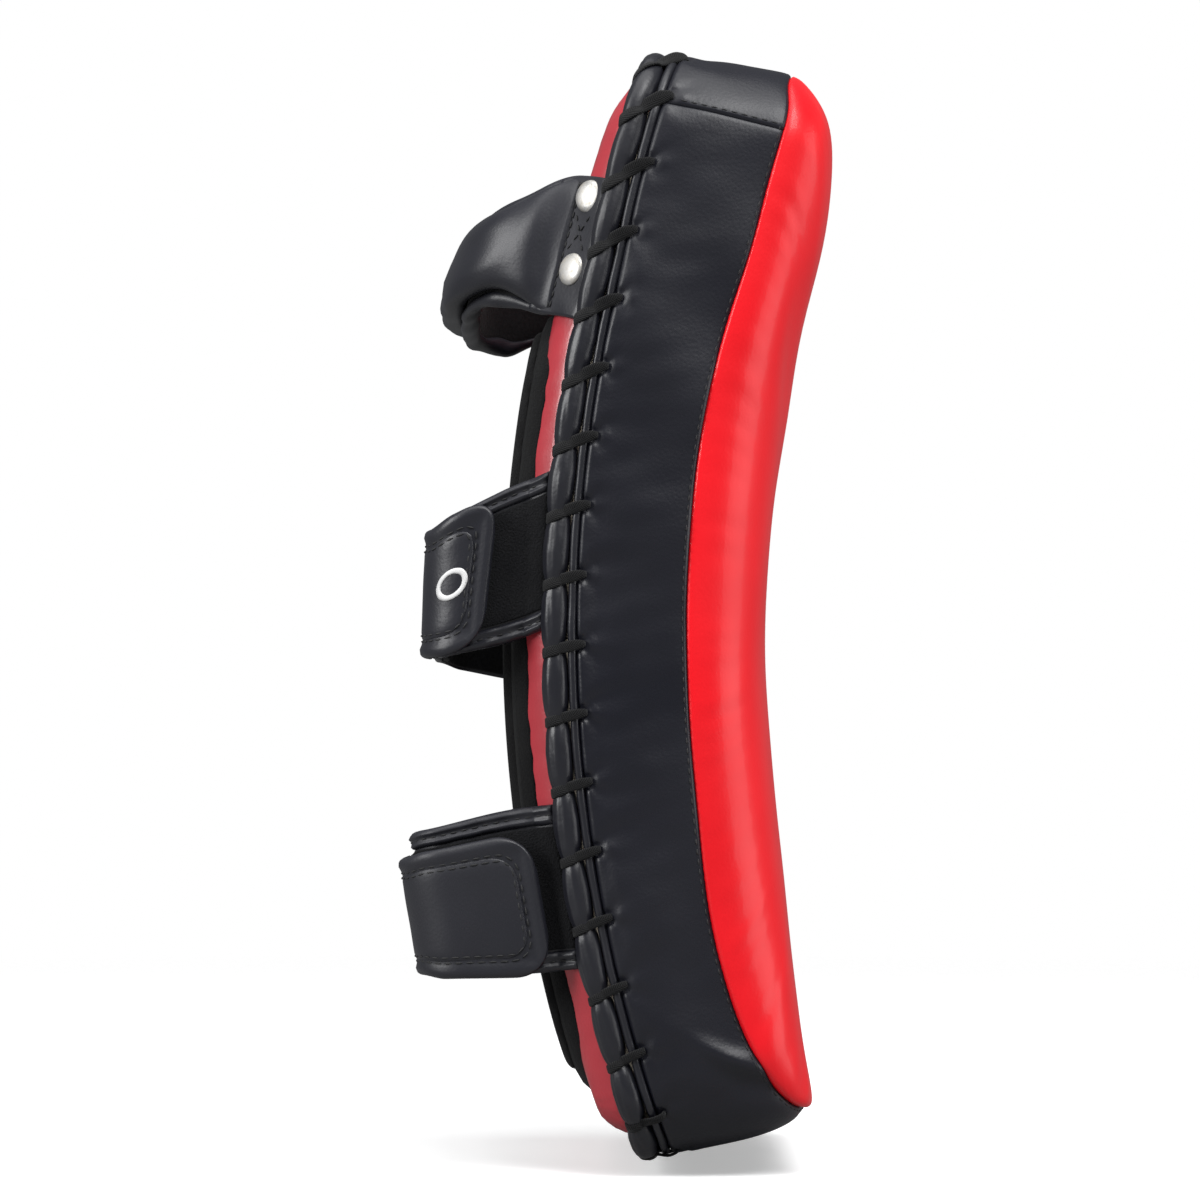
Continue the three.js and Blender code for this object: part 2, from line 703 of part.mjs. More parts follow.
const SIDES = { near: -1, far: 1 };

function forRivets(make) {
  return Object.values(SIDES).flatMap((side) => RIVET.places.map((w) => make(side, w)));
}

function gripPieces() {
  const inward = LEATHER / 2 + GAP;
  const pieces = {
    grip_cover: [gripLayer(LEATHER, 0, 0), BLACK_LEATHER],
    grip_foam: [gripLayer(GRIP.foam, -inward - GRIP.foam / 2, 2, 2), FOAM],
    grip_lining: [gripLayer(LEATHER, -2 * inward - GRIP.foam, 1, 2), BLACK_CLOTH],
  };
  for (const [name, side] of Object.entries(SIDES)) {
    const holes = RIVET.places.map((w) => rivetHole(side, w));
    pieces[`grip_tab_${name}`] = [gripTab(side, holes), BLACK_LEATHER];
    RIVET.places.forEach((w, i) => {
      const level = ['upper', 'lower'][i];
      pieces[`rivet_${name}_${level}`] = [rivet(side, w), NICKEL];
      pieces[`burr_${name}_${level}`] = [burr(side, w), NICKEL];
    });
  }
  return pieces;
}

// ---------- the assembly ----------

function padPieces() {
  return {
    strike_cover: [strikeCover(), RED_LEATHER],
    front_foam: [frontFoam(), FOAM],
    middle_foam: [middleFoam(), EVA],
    rear_foam: [cutAway(rearFoam(), forRivets(burrPocket)), FOAM],
    top_gusset: [topGusset(), BLACK_LEATHER],
    long_gusset: [longGusset(), BLACK_LEATHER],
    back_panel: [backPanel(forRivets(rivetHole)), RED_LEATHER],
    lacing_roll: [around(roundProfile(ROLL)), BLACK_LEATHER],
    edge_piping: [around(roundProfile(PIPING)), BLACK_LEATHER],
    edge_lace: [lace(), LACE_CORD],
    forearm_cushion_cover: [cushionCover(), BLACK_CLOTH],
    forearm_cushion_foam: [cushionFoam(), FOAM],
  };
}

function assemble() {
  const pad = new THREE.Group();
  const pieces = Object.assign(padPieces(), gripPieces(), ...STRAPS.map(strapPieces));
  for (const [name, [geometry, look]] of Object.entries(pieces)) {
    const mesh = new THREE.Mesh(geometry, look);
    mesh.name = name;
    pad.add(mesh);
  }
  return pad;
}

export default assemble();
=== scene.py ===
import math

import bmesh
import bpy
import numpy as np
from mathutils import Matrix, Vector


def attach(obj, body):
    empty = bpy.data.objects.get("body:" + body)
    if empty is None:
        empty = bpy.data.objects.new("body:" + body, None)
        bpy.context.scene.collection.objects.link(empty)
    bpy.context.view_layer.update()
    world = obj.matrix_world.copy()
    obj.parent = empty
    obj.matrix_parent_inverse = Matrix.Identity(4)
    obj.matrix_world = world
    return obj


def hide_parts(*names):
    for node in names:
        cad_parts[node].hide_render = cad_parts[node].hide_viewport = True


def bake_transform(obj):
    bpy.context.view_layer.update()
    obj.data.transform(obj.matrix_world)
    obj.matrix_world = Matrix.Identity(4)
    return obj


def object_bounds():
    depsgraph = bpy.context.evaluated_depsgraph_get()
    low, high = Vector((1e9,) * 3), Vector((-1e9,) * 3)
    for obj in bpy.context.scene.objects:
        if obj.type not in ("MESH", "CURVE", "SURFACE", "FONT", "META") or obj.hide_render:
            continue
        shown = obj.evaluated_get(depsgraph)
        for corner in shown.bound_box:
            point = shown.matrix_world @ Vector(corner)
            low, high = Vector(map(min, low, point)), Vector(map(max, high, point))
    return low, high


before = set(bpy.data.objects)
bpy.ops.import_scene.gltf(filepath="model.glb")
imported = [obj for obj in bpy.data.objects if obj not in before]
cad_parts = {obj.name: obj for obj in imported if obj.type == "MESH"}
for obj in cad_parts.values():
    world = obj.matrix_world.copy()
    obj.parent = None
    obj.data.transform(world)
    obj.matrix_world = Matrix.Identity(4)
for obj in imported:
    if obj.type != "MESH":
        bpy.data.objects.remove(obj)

# The looks of a curved forearm pad. Lengths are in millimetres until a mesh is made.
# On the pad: q runs round its outline from the middle of the top end towards +X, inset is
# measured inwards from the outline, and depth from the back of the laced edge towards the
# strike face. On a strap or the grip: x is across the pad, n the height over the laced edge,
# and w runs along the pad from the middle of the strap.

CAD_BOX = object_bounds()
MM = 0.001

# ---------- light ----------

WORLD_LIGHT = 0.2
FLOOR_FADE = (0.35, 1.5)
FLOOR_BOUNCE = (0.28, 0.28, 0.28)
FLOOR_GAP = 0.0025

# ---------- driving dimensions ----------
# The sizes are those of the CAD model. Only the values from TOP_BACK to TIP_SLACK, and the
# wander of the seam, are this script's own: they shape the soft leather over the CAD form.

HALF_WIDTH = 98.0
BACK_RADIUS = 545.0
TOP_REACH = 203.3
BOTTOM_REACH = 187.4
CORNER = 28.0
SEAM_DEPTH = 52.0
TOP_LEAN = 0.069
FLARE, FLARE_START, FLARE_POWER = 12.0, 14.0, 14
TOP_SEAM, TOP_SEAM_DROP = 18.0, 5.0
CROWN = 31.0
CROWN_POWER = 4.8
TOP_BACK, TOP_BACK_FROM = 5.4, 110.0
BOTTOM_BULGE = 5.6
FOLD_HEIGHT = 27.0
BOTTOM_SAG = 2.0
TOP_SLACK = 14.0
BOTTOM_SLACK = 9.0
TIP_SLACK = 5.0
LEATHER = 1.5
FOAM_INSET = 2.4
FRONT_BACK, MIDDLE_FRONT, MIDDLE_BACK, REAR_FRONT = 33.9, 33.5, 19.9, 19.5
HOLE_DEPTH = 14.9
ARC_MIDDLE = BACK_RADIUS - SEAM_DEPTH / 2
CUSHION_RISE = 14.0
CUSHION_SIZES = (74.0, 108.0, -154.5, 22.0)
PANEL_CLEAR = 7.75
LAND = (-50.0, -22.0)
STITCH_COUNT = 47
WALL_X, FAR_X = 88.8, 84.0
# drift: how far a strap's middle line lies up the pad at its near root, far root and top
# spread: the share of its width at its roots and at its top
# band: the same two for the band that it closes on
STRAPS = {
    "middle": dict(station=20.0, drift=(7.5, -10.5, -9.2), width=50.0, spread=(1.12, 1.0),
                   band=dict(drift=(7.5, -10.5, -9.2), spread=(1.14, 1.0)),
                   rise=40.8, bend=14.0, tip=18.4, round=12.0, lean=0.08, seed=50),
    "lower": dict(station=-89.0, drift=(-3.6, 5.0, -0.4), width=52.0, spread=(1.0, 0.88),
                  band=dict(drift=(1.3, 5.0, 3.9), spread=(1.15, 1.0)),
                  rise=54.8, bend=16.0, tip=8.0, round=14.0, lean=0.0, seed=60),
}
BINDING = 6.4
PATCH_MARGIN = 7.0
STRAP_ROUNDING = 0.075
GRIP = dict(station=131.9, droop=(-0.084, 0.0092), sag=9.0, tab=52.0, bar=35.0, top=50.8)
GRIP_EDGE, GRIP_SINK = 3.0, 3.4
RIVET_PLACES = (18.4, -8.7)
Q_STEP = 1.15
# in metres: the printed ring on the strike face, the lace's threads and the cushion's cloth,
# with the cloth's pressure and number of frames
RING_HEIGHT, RING_RADII, RING_BLUR = 0.057, (0.0384, 0.0492), 0.0004
THREAD_PITCH = 0.0009
CLOTH_VOXEL, CLOTH_SWELL = 0.0028, 0.0016
CLOTH_PRESSURE, CLOTH_FRAMES = 4.0, 20

# how the seam round the strike face wanders: (forward, distance from that end, spread)
TOP_WANDER = ((3.6, 66, 42), (-4.0, 0, 12))
BOTTOM_WANDER = ((-2.2, 66, 44), (-1.6, 0, 12))
# the rolled binding, as (inset, depth)
ROLL_MIDDLE, ROLL_HALF = (4.7, 4.9), (4.7, 4.7)
# the back panel's slope beside the laced edge
SLOPE = np.array([9.3, 8.5]) / math.hypot(9.3, 8.5)

LAND_REACH = (BACK_RADIUS + CUSHION_RISE) * sum(math.cos(s / ARC_MIDDLE) for s in LAND) / 2
LAND_Z = LAND_REACH * sum(math.tan(s / ARC_MIDDLE) for s in LAND) / 2


def bump(value, width):
    return np.exp(-(value / width) ** 2)


def smooth_share(value, low, high):
    share = np.clip((np.asarray(value, float) - low) / (high - low), 0, 1)
    return share * share * (3 - 2 * share)


def circle(count):
    return np.linspace(0, math.tau, count, endpoint=False)


def run_along(path):
    """The distance travelled at each point of a path."""
    return np.concatenate([[0], np.cumsum(np.linalg.norm(np.diff(path, axis=0), axis=1))])


def unit(vectors):
    return vectors / np.maximum(np.linalg.norm(vectors, axis=-1, keepdims=True), 1e-9)


# ---------- the pad's own coordinates ----------

def flare(s, depth):
    """The bottom end thickens towards the strike face, most at its very edge."""
    reach = np.maximum(0, TOP_REACH - BOTTOM_REACH - 2 * s) / (TOP_REACH + BOTTOM_REACH)
    share = np.clip((depth - FLARE_START) / (SEAM_DEPTH - FLARE_START), 0, 1)
    return FLARE * reach ** FLARE_POWER * share


def top_back(s, depth):
    """How far the laced edge stands back towards the top end. The back panel behind it stays."""
    share = np.clip(1 - depth / SEAM_DEPTH, 0, 1) * smooth_share(depth, -9, 4)
    return TOP_BACK * smooth_share(s, TOP_BACK_FROM, TOP_REACH) * share


def bend(x, s, depth):
    x, s, depth = np.broadcast_arrays(*(np.asarray(v, float) for v in (x, s, depth)))
    angle = s / ARC_MIDDLE * np.where(s > 0, 1 + TOP_LEAN * depth / SEAM_DEPTH, 1)
    radius = BACK_RADIUS - depth - flare(s, depth) + top_back(s, depth)
    return np.stack([x, radius * np.cos(angle) - LAND_REACH, radius * np.sin(angle) - LAND_Z], -1)


class Outline:
    """A rounded rectangle, walked from the middle of its top towards +X."""

    def __init__(self, half, top, bottom, corner):
        flat = half - corner
        points = [(0.0, top, 0.0, -1.0)]
        centres = [(flat, top - corner), (flat, bottom + corner),
                   (-flat, bottom + corner), (-flat, top - corner)]
        for k, (x, s) in enumerate(centres):
            for a in np.linspace(math.pi / 2, 0, 25) - k * math.pi / 2:
                right, up = math.cos(a), math.sin(a)
                points.append((x + corner * right, s + corner * up, -right, -up))
        points.append(points[0])
        self.columns = np.array(points).T
        self.lengths = run_along(self.columns[:2].T)
        self.length = self.lengths[-1]
        self.middle = (top + bottom) / 2

    def at(self, q):
        """x and s on the outline, and the direction inwards as the same two."""
        q = np.mod(q, self.length)
        return [np.interp(q, self.lengths, column) for column in self.columns]

    def place(self, q, inset, depth, scale=1.0):
        """inset works near the edge; scale then shrinks the whole ring towards its middle."""
        x, s, nx, ns = self.at(q)
        x, s = x + nx * inset, s + ns * inset
        return bend(x * scale, self.middle + (s - self.middle) * scale, depth)

    def rings(self, q, *steps):
        """One ring for each step of (inset, depth) or (inset, depth, scale)."""
        return [self.place(q, *step) for step in steps]

    def near_side(self, s):
        """The q of a station on the near, -X side."""
        corner_end = self.lengths[-2] - CORNER * math.pi / 2
        return corner_end - (TOP_REACH - CORNER - s)


PAD = Outline(HALF_WIDTH, TOP_REACH, -BOTTOM_REACH, CORNER)
PITCH = PAD.length / STITCH_COUNT
FIRST_HOLE = PAD.near_side(19.2) % PITCH


def ripple(q, s, size, seed):
    """Smooth, repeatable unevenness between about -1 and 1."""
    rng = np.random.default_rng(seed)
    total = np.zeros(np.broadcast(q, s).shape)
    for _ in range(7):
        turn, phase = rng.uniform(0, math.tau), rng.uniform(0, math.tau)
        stretch = rng.uniform(0.7, 1.6) * math.tau / size
        total = total + np.sin((q * math.cos(turn) + s * math.sin(turn)) * stretch + phase)
    return total / 3.5


# ---------- meshes ----------

def make(name, points, faces, look, uv=None):
    mesh = bpy.data.meshes.new(name)
    mesh.from_pydata((np.asarray(points) * MM).tolist(), [], faces)
    mesh.materials.append(LOOKS[look])
    if uv is not None:
        layer = mesh.uv_layers.new(name="weave")
        loops = np.zeros(len(mesh.loops), int)
        mesh.loops.foreach_get("vertex_index", loops)
        layer.data.foreach_set("uv", (np.asarray(uv)[loops] * MM).astype(np.float32).ravel())
    work = bmesh.new()
    work.from_mesh(mesh)
    bmesh.ops.recalc_face_normals(work, faces=work.faces)
    work.to_mesh(mesh)
    work.free()
    mesh.shade_smooth()
    made = bpy.data.objects.new(name, mesh)
    bpy.context.collection.objects.link(made)
    return made


def tube_faces(rings, count, closed=False, start=0):
    """Quads between rings of points, with a cap on each open end."""
    faces = []
    for i in range(rings if closed else rings - 1):
        a, b = start + i * count, start + (i + 1) % rings * count
        for j in range(count):
            k = (j + 1) % count
            faces.append((a + j, a + k, b + k, b + j))
    if not closed:
        last = start + (rings - 1) * count
        faces += [tuple(range(start, start + count)), tuple(range(last, last + count))]
    return faces


def tube(name, points, look, closed=False):
    """A solid through rings of points, shaped (rings, ring points, 3)."""
    return make(name, points.reshape(-1, 3), tube_faces(*points.shape[:2], closed), look)


def dish(name, rows, look):
    """A closed shell from rings that run from the middle of one face to the middle of the other."""
    return tube(name, np.stack(rows), look)


def fasten(piece, *nodes, body="pad"):
    """Fixes a piece to a body, in place of the CAD nodes that it stands for."""
    if nodes:
        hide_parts(*nodes)
    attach(piece, body)
    return piece


# ---------- materials ----------

def node(tree, kind, **settings):
    made = tree.nodes.new(kind)
    for key, value in settings.items():
        if key in made.inputs:
            made.inputs[key].default_value = value
        else:
            setattr(made, key, value)
    return made


def feed(tree, sockets, values):
    """Links each socket to an output, or sets it to a number or a colour."""
    for socket, value in zip(sockets, values):
        if isinstance(value, bpy.types.NodeSocket):
            tree.links.new(value, socket)
        else:
            socket.default_value = value


def calc(tree, operation, *values):
    made = node(tree, "ShaderNodeMath", operation=operation)
    feed(tree, made.inputs, values)
    return made.outputs[0]


def vector_calc(tree, operation, *values):
    made = node(tree, "ShaderNodeVectorMath", operation=operation)
    feed(tree, made.inputs, values)
    return made.outputs["Value" if operation == "LENGTH" else 0]


def ramp(tree, source, low, high, out_low, out_high):
    made = node(tree, "ShaderNodeMapRange")
    feed(tree, made.inputs, (source, low, high, out_low, out_high))
    return made.outputs["Result"]


def noise(tree, place, scale, detail=3.0):
    made = node(tree, "ShaderNodeTexNoise", Scale=scale, Detail=detail)
    tree.links.new(place, made.inputs["Vector"])
    return made.outputs["Fac"]


def cells(tree, place, scale, feature="F1"):
    made = node(tree, "ShaderNodeTexVoronoi", Scale=scale, feature=feature)
    tree.links.new(place, made.inputs["Vector"])
    return made.outputs["Distance"]


def mixed_color(tree, factor, first, second):
    made = node(tree, "ShaderNodeMix", data_type="RGBA")
    colors = [c if isinstance(c, bpy.types.NodeSocket) else (*c, 1) for c in (first, second)]
    feed(tree, (made.inputs[0], made.inputs[6], made.inputs[7]), (factor, *colors))
    return made.outputs[2]


def start_material(name, color, roughness, **sockets):
    """A new material: its node tree, its shader and its place on the object."""
    material = bpy.data.materials.new(name)
    material.use_nodes = True
    tree = material.node_tree
    shader = tree.nodes["Principled BSDF"]
    shader.inputs["Base Color"].default_value = (*color, 1)
    shader.inputs["Roughness"].default_value = roughness
    for key, value in sockets.items():
        shader.inputs[key.replace("_", " ")].default_value = value
    return material, tree, shader, node(tree, "ShaderNodeTexCoord").outputs["Object"]


def add_bumps(tree, shader, layers):
    """layers: (height output, strength, distance in metres), from coarse to fine."""
    normal = None
    for height, strength, distance in layers:
        made = node(tree, "ShaderNodeBump", Strength=strength, Distance=distance)
        tree.links.new(height, made.inputs["Height"])
        if normal is not None:
            tree.links.new(normal, made.inputs["Normal"])
        normal = made.outputs["Normal"]
    tree.links.new(normal, shader.inputs["Normal"])


def dress(tree, shader, color, roughness=None):
    """Drives a shader's colour, and its roughness if that varies."""
    tree.links.new(color, shader.inputs["Base Color"])
    if roughness is not None:
        tree.links.new(roughness, shader.inputs["Roughness"])


def printed_ring(tree, place, red):
    """One plain white ring on the middle of the strike face."""
    inner, outer = RING_RADII
    apart = vector_calc(tree, "SUBTRACT", place, (0, 0, RING_HEIGHT))
    radius = vector_calc(tree, "LENGTH", vector_calc(tree, "MULTIPLY", apart, (1, 0, 1)))
    inside = ramp(tree, radius, outer, outer + RING_BLUR, 1.0, 0.0)
    outside = ramp(tree, radius, inner, inner + RING_BLUR, 0.0, 1.0)
    return mixed_color(tree, calc(tree, "MULTIPLY", inside, outside), red, (0.82, 0.80, 0.78))


def leather(name, color, second, roughness, grain=1.0, paint=None, **sockets):
    """Smooth synthetic leather: pebbled grain, faint creases, cloudy colour and uneven gloss."""
    material, tree, shader, place = start_material(name, color, roughness, **sockets)
    pebble = cells(tree, place, 900.0, "SMOOTH_F1")
    crease = noise(tree, place, 55.0, 6.0)
    cloudy = noise(tree, place, 14.0, 2.0)
    patches = ramp(tree, noise(tree, place, 26.0), 0.35, 0.7, 0.0, 1.0)
    mixed = mixed_color(tree, patches, color, second)
    dress(tree, shader, paint(tree, place, mixed) if paint else mixed,
          ramp(tree, cloudy, 0.3, 0.7, roughness * 0.86, roughness * 1.2))
    add_bumps(tree, shader, [(crease, 0.22 * grain, 0.0009), (pebble, 0.16 * grain, 0.00035)])
    return material


def cloth(name, color, lit, scale, fuzz, **sockets):
    """Matt brushed fabric or tape: short pile with lighter tips."""
    material, tree, shader, place = start_material(name, color, 0.95, **sockets)
    pile = noise(tree, place, scale, 4.0)
    patchy = noise(tree, place, 60.0)
    dress(tree, shader, mixed_color(tree, ramp(tree, pile, 0.35, 0.75, 0, 1), color, lit),
          ramp(tree, patchy, 0.3, 0.7, 0.86, 1.0))
    add_bumps(tree, shader, [(patchy, 0.2, 0.001), (pile, fuzz, 0.0008)])
    return material


def woven(name, color, lit):
    """Flat lace: a herringbone of threads along its own length."""
    material, tree, shader, place = start_material(name, color, 0.85, Sheen_Weight=0.05,
                                                   Specular_IOR_Level=0.3)
    uv = node(tree, "ShaderNodeUVMap", uv_map="weave").outputs["UV"]
    split = node(tree, "ShaderNodeSeparateXYZ")
    tree.links.new(uv, split.inputs[0])
    slanted = calc(tree, "ADD", split.outputs["X"], calc(tree, "ABSOLUTE", split.outputs["Y"]))
    wave = calc(tree, "SINE", calc(tree, "MULTIPLY", slanted, math.tau / THREAD_PITCH))
    height = ramp(tree, wave, -1, 1, 0, 1)
    dress(tree, shader, mixed_color(tree, height, color, lit))
    add_bumps(tree, shader, [(height, 0.6, 0.0004), (noise(tree, place, 1800.0), 0.3, 0.0003)])
    return material


def metal(name, color, roughness, stain_color):
    """Plated metal with fine turning marks and faint stains."""
    material, tree, shader, place = start_material(name, color, roughness, Metallic=0.85)
    stain = noise(tree, place, 420.0, 4.0)
    dress(tree, shader, mixed_color(tree, ramp(tree, stain, 0.45, 0.75, 0, 1), color, stain_color),
          ramp(tree, stain, 0.3, 0.7, roughness * 0.8, roughness * 1.3))
    add_bumps(tree, shader, [(noise(tree, place, 2500.0, 2.0), 0.15, 0.0002)])
    return material


def foam(name, color, pore_shade, scale):
    """Cut foam: small open cells, with painted shade darkening their hollows."""
    material, tree, shader, place = start_material(name, color, 0.95)
    pores = cells(tree, place, scale)
    dress(tree, shader, mixed_color(tree, ramp(tree, pores, 0.05, 0.5, 0, 1), pore_shade, color))
    add_bumps(tree, shader, [(pores, 0.5, 0.0006)])
    return material


LOOKS = {
    "red_face": leather("red_face", (0.80, 0.006, 0.013), (0.72, 0.005, 0.011), 0.38, 0.7,
                        paint=printed_ring, Coat_Weight=0.08, Specular_IOR_Level=0.3),
    # The back panel's red is paler and pinker than the strike face's red: a painted reflection, the haze of
    # the white surroundings at grazing angles.
    "red_back_painted_haze": leather("red_back_painted_haze", (0.46, 0.030, 0.044), (0.40, 0.026, 0.038), 0.4, 0.9, Coat_Weight=0.2),
    "black": leather("black_leather", (0.0044, 0.0047, 0.0092), (0.0068, 0.0072, 0.0125), 0.41,
                     Specular_IOR_Level=0.42),
    # The straps' and grip's leather is the case's black leather made lighter: painted light, standing in for
    # the brighter tone that the flaps and grip catch from the lamps.
    "black_strap_painted_light": leather("black_strap_leather", (0.0100, 0.0104, 0.0155), (0.0135, 0.0139, 0.0195),
                           0.44, 0.8),
    "black_roll": leather("black_roll_leather", (0.0072, 0.0075, 0.0115), (0.0095, 0.0098, 0.0145),
                          0.38, 0.8),
    "thread": leather("black_thread", (0.008, 0.008, 0.009), (0.02, 0.02, 0.021), 0.7, 1.5),
    "cushion": cloth("cushion_cloth", (0.003, 0.003, 0.0033), (0.007, 0.007, 0.0074), 1500.0, 0.6,
                     Sheen_Weight=0.03, Specular_IOR_Level=0.2),
    "lining": cloth("lining_cloth", (0.004, 0.004, 0.0046), (0.010, 0.010, 0.011), 900.0, 0.4,
                    Sheen_Weight=0.04, Specular_IOR_Level=0.25),
    "tape": cloth("hook_loop_tape", (0.0026, 0.0027, 0.0034), (0.0062, 0.0064, 0.0078), 1300.0, 0.9,
                  Sheen_Weight=0.03, Specular_IOR_Level=0.25),
    "lace": woven("lace_weave", (0.001, 0.001, 0.0013), (0.0042, 0.0042, 0.005)),
    "nickel": metal("nickel", (0.60, 0.59, 0.57), 0.45, (0.45, 0.42, 0.36)),
    "print": leather("white_print", (0.72, 0.72, 0.72), (0.6, 0.6, 0.6), 0.5, 0.4),
    "foam": foam("soft_foam", (0.62, 0.56, 0.46), (0.35, 0.31, 0.25), 1100.0),
    "eva": foam("closed_foam", (0.075, 0.08, 0.09), (0.04, 0.043, 0.05), 2200.0),
}


# ---------- camera, lights and floor ----------

def aim(data, place, target):
    """Puts a camera or a light in the scene, and turns it towards its target."""
    made = bpy.data.objects.new(data.name, data)
    bpy.context.collection.objects.link(made)
    made.location = place
    made.rotation_euler = (Vector(target) - Vector(place)).to_track_quat("-Z", "Y").to_euler()
    return made


def place_camera():
    """Level with the lower middle of the pad, square to its near side."""
    distance, frame_height = 1.70, 0.427
    centre_y, eye_z, centre_z = -0.0335, 0.0086, 0.0495
    near = -HALF_WIDTH * MM
    data = bpy.data.cameras.new("camera")
    data.sensor_width = 36
    data.lens = data.sensor_width * distance / frame_height
    data.clip_start, data.clip_end = 0.05, 50
    eye, target = (near - distance, centre_y, eye_z), (near, centre_y, centre_z)
    bpy.context.scene.camera = aim(data, eye, target)


def area_light(name, place, target, size, power):
    data = bpy.data.lights.new(name, "AREA")
    data.shape, data.size, data.size_y = "RECTANGLE", *size
    data.energy = power
    aim(data, place, target)


def mix_shaders(tree, factor, first, second):
    made = node(tree, "ShaderNodeMixShader")
    feed(tree, made.inputs, (factor, first, second))
    return made.outputs[0]


def seen_by_camera(tree):
    return node(tree, "ShaderNodeLightPath").outputs["Is Camera Ray"]


def fade_floor(tree, shader, place):
    """Lets a floor fade out into the white world, and send little light back up at the object."""
    dull = node(tree, "ShaderNodeBsdfDiffuse", Color=(*FLOOR_BOUNCE, 1)).outputs[0]
    seen = mix_shaders(tree, seen_by_camera(tree), dull, shader.outputs[0])
    fade = ramp(tree, vector_calc(tree, "LENGTH", place), *FLOOR_FADE, 0.0, 1.0)
    clear = node(tree, "ShaderNodeBsdfTransparent").outputs[0]
    output = next(n for n in tree.nodes if n.type == "OUTPUT_MATERIAL")
    tree.links.new(mix_shaders(tree, fade, seen, clear), output.inputs["Surface"])


def white_world():
    """Plain white behind the object, with a dimmer light from all round it."""
    world = bpy.data.worlds.new("studio")
    bpy.context.scene.world = world
    world.use_nodes = True
    tree = world.node_tree
    dim = tree.nodes["Background"]
    dim.inputs["Color"].default_value = (0.96, 0.98, 1.0, 1)
    dim.inputs["Strength"].default_value = WORLD_LIGHT
    white = node(tree, "ShaderNodeBackground", Color=(1, 1, 1, 1), Strength=1.0)
    mixed = mix_shaders(tree, seen_by_camera(tree), dim.outputs[0], white.outputs[0])
    tree.links.new(mixed, tree.nodes["World Output"].inputs["Surface"])


def studio():
    reach = 3.0
    mesh = bpy.data.meshes.new("floor")
    corners = [(-reach, -reach, 0), (reach, -reach, 0), (reach, reach, 0), (-reach, reach, 0)]
    mesh.from_pydata(corners, [], [(0, 1, 2, 3)])
    floor = bpy.data.objects.new("floor", mesh)
    bpy.context.collection.objects.link(floor)
    floor.location.z = CAD_BOX[0].z - FLOOR_GAP
    pale, tree, shader, place = start_material("floor", (0.9, 0.9, 0.9), 0.9, Emission_Color=(1, 1, 1, 1),
                                               Emission_Strength=0.35)
    fade_floor(tree, shader, place)
    mesh.materials.append(pale)
    white_world()
    middle = (0, -0.03, 0.05)
    area_light("key", (-0.85, -0.5, 1.05), (0, -0.05, 0.24), (0.6, 0.8), 16)
    area_light("left", (-0.85, 1.65, 0.75), (0, 0, 0.1), (0.7, 1.0), 29)
    area_light("front", (-0.3, -1.9, 0.15), middle, (1.4, 1.2), 15)
    area_light("top", (-0.5, 0.2, 2.2), middle, (2.4, 2.2), 40)
    bpy.context.scene.view_settings.view_transform = "Standard"
    bpy.context.scene.view_settings.look = "None"


# ---------- the leather case ----------

Q = np.arange(0, PAD.length, PAD.length / round(PAD.length / Q_STEP))


def hole_distance(q):
    """Signed distance along the outline to the nearest lace hole."""
    return np.mod(q - FIRST_HOLE + PITCH / 2, PITCH) - PITCH / 2


def station(q):
    return PAD.at(q)[1]


def lace_share(q):
    """0 at the top of the pad, 1 at its bottom: the lace lies flatter and pulls tighter there."""
    return np.clip((TOP_REACH - station(q)) / (TOP_REACH + BOTTOM_REACH), 0, 1)


def low_end(q):
    """1 along the bottom end of the outline, 0 above its corners."""
    return smooth_share(-station(q), BOTTOM_REACH - 17, BOTTOM_REACH - 1)


def seam_shift(s):
    """How far the seam round the strike face wanders forward of its even depth."""
    high, low = TOP_REACH - s, BOTTOM_REACH + s
    return sum(size * bump(away - middle, width)
               for away, wander in ((high, TOP_WANDER), (low, BOTTOM_WANDER))
               for size, middle, width in wander)


def wall_depth(q, depth):
    """The depth on the side wall, which follows the seam where it wanders."""
    return depth + seam_shift(station(q)) * smooth_share(depth, 20, 50)


def gusset_relief(q, depth):
    """How far the side wall stands out: it swells between its seams and is drawn in at each hole."""
    middle = (depth - 13) / (SEAM_DEPTH - 13)
    rise = np.clip(middle, 0, 1)
    swell = 0.9 * np.sin(rise * math.pi)
    bulge = BOTTOM_BULGE * 1.35 * rise * (1 - rise ** 6)
    swell = swell + low_end(q) * (bulge + BOTTOM_SAG * rise ** 4)
    corner = PAD.near_side(FOLD_HEIGHT - BOTTOM_REACH)
    for side in (corner, PAD.length - corner):
        past = (q - side) * math.copysign(1, side - corner - 1) + (44 - depth) * 0.9
        fold = 1.9 * bump(past, 5) - 1.2 * bump(past - 10, 6)
        swell = swell + fold * bump(depth - 45, 12)
    apart, past = hole_distance(q), depth - HOLE_DEPTH
    radius = np.hypot(apart, past)
    rays = np.cos(5 * np.arctan2(apart, np.maximum(past, 0) + 2.5)) * bump(radius, 9) * 0.45
    dimple = -0.9 * bump(radius, 2.3) + 0.35 * bump(radius - 3.3, 1.3)
    drag = -0.5 * bump(apart, 6) * bump(past, 10)
    soft = 0.7 * ripple(q, depth * 1.6, 62, 3) + 0.24 * ripple(q, depth * 0.6, 17, 4) * bump(past, 26)
    soft = soft + 0.9 * ripple(q, depth * 2.2, 150, 5)
    seam = -0.35 * bump(depth - SEAM_DEPTH, 2.2)
    return swell + rays + dimple + drag + (soft + seam) * np.clip(middle * 6, 0, 1)


GUSSET_ROWS = np.concatenate([[12.2, 12.6, 13.2, 13.9, 14.6, 15.3, 16.1],
                              np.arange(17, 51, 1.3), [51.0, 51.6, 51.9]])


def top_seam_q(side, depth):
    """The q of the seam under the top panel, on the near (-1) or far (1) side."""
    near = PAD.near_side(TOP_REACH - TOP_SEAM - TOP_SEAM_DROP * depth / SEAM_DEPTH)
    return near if side < 0 else PAD.length - near


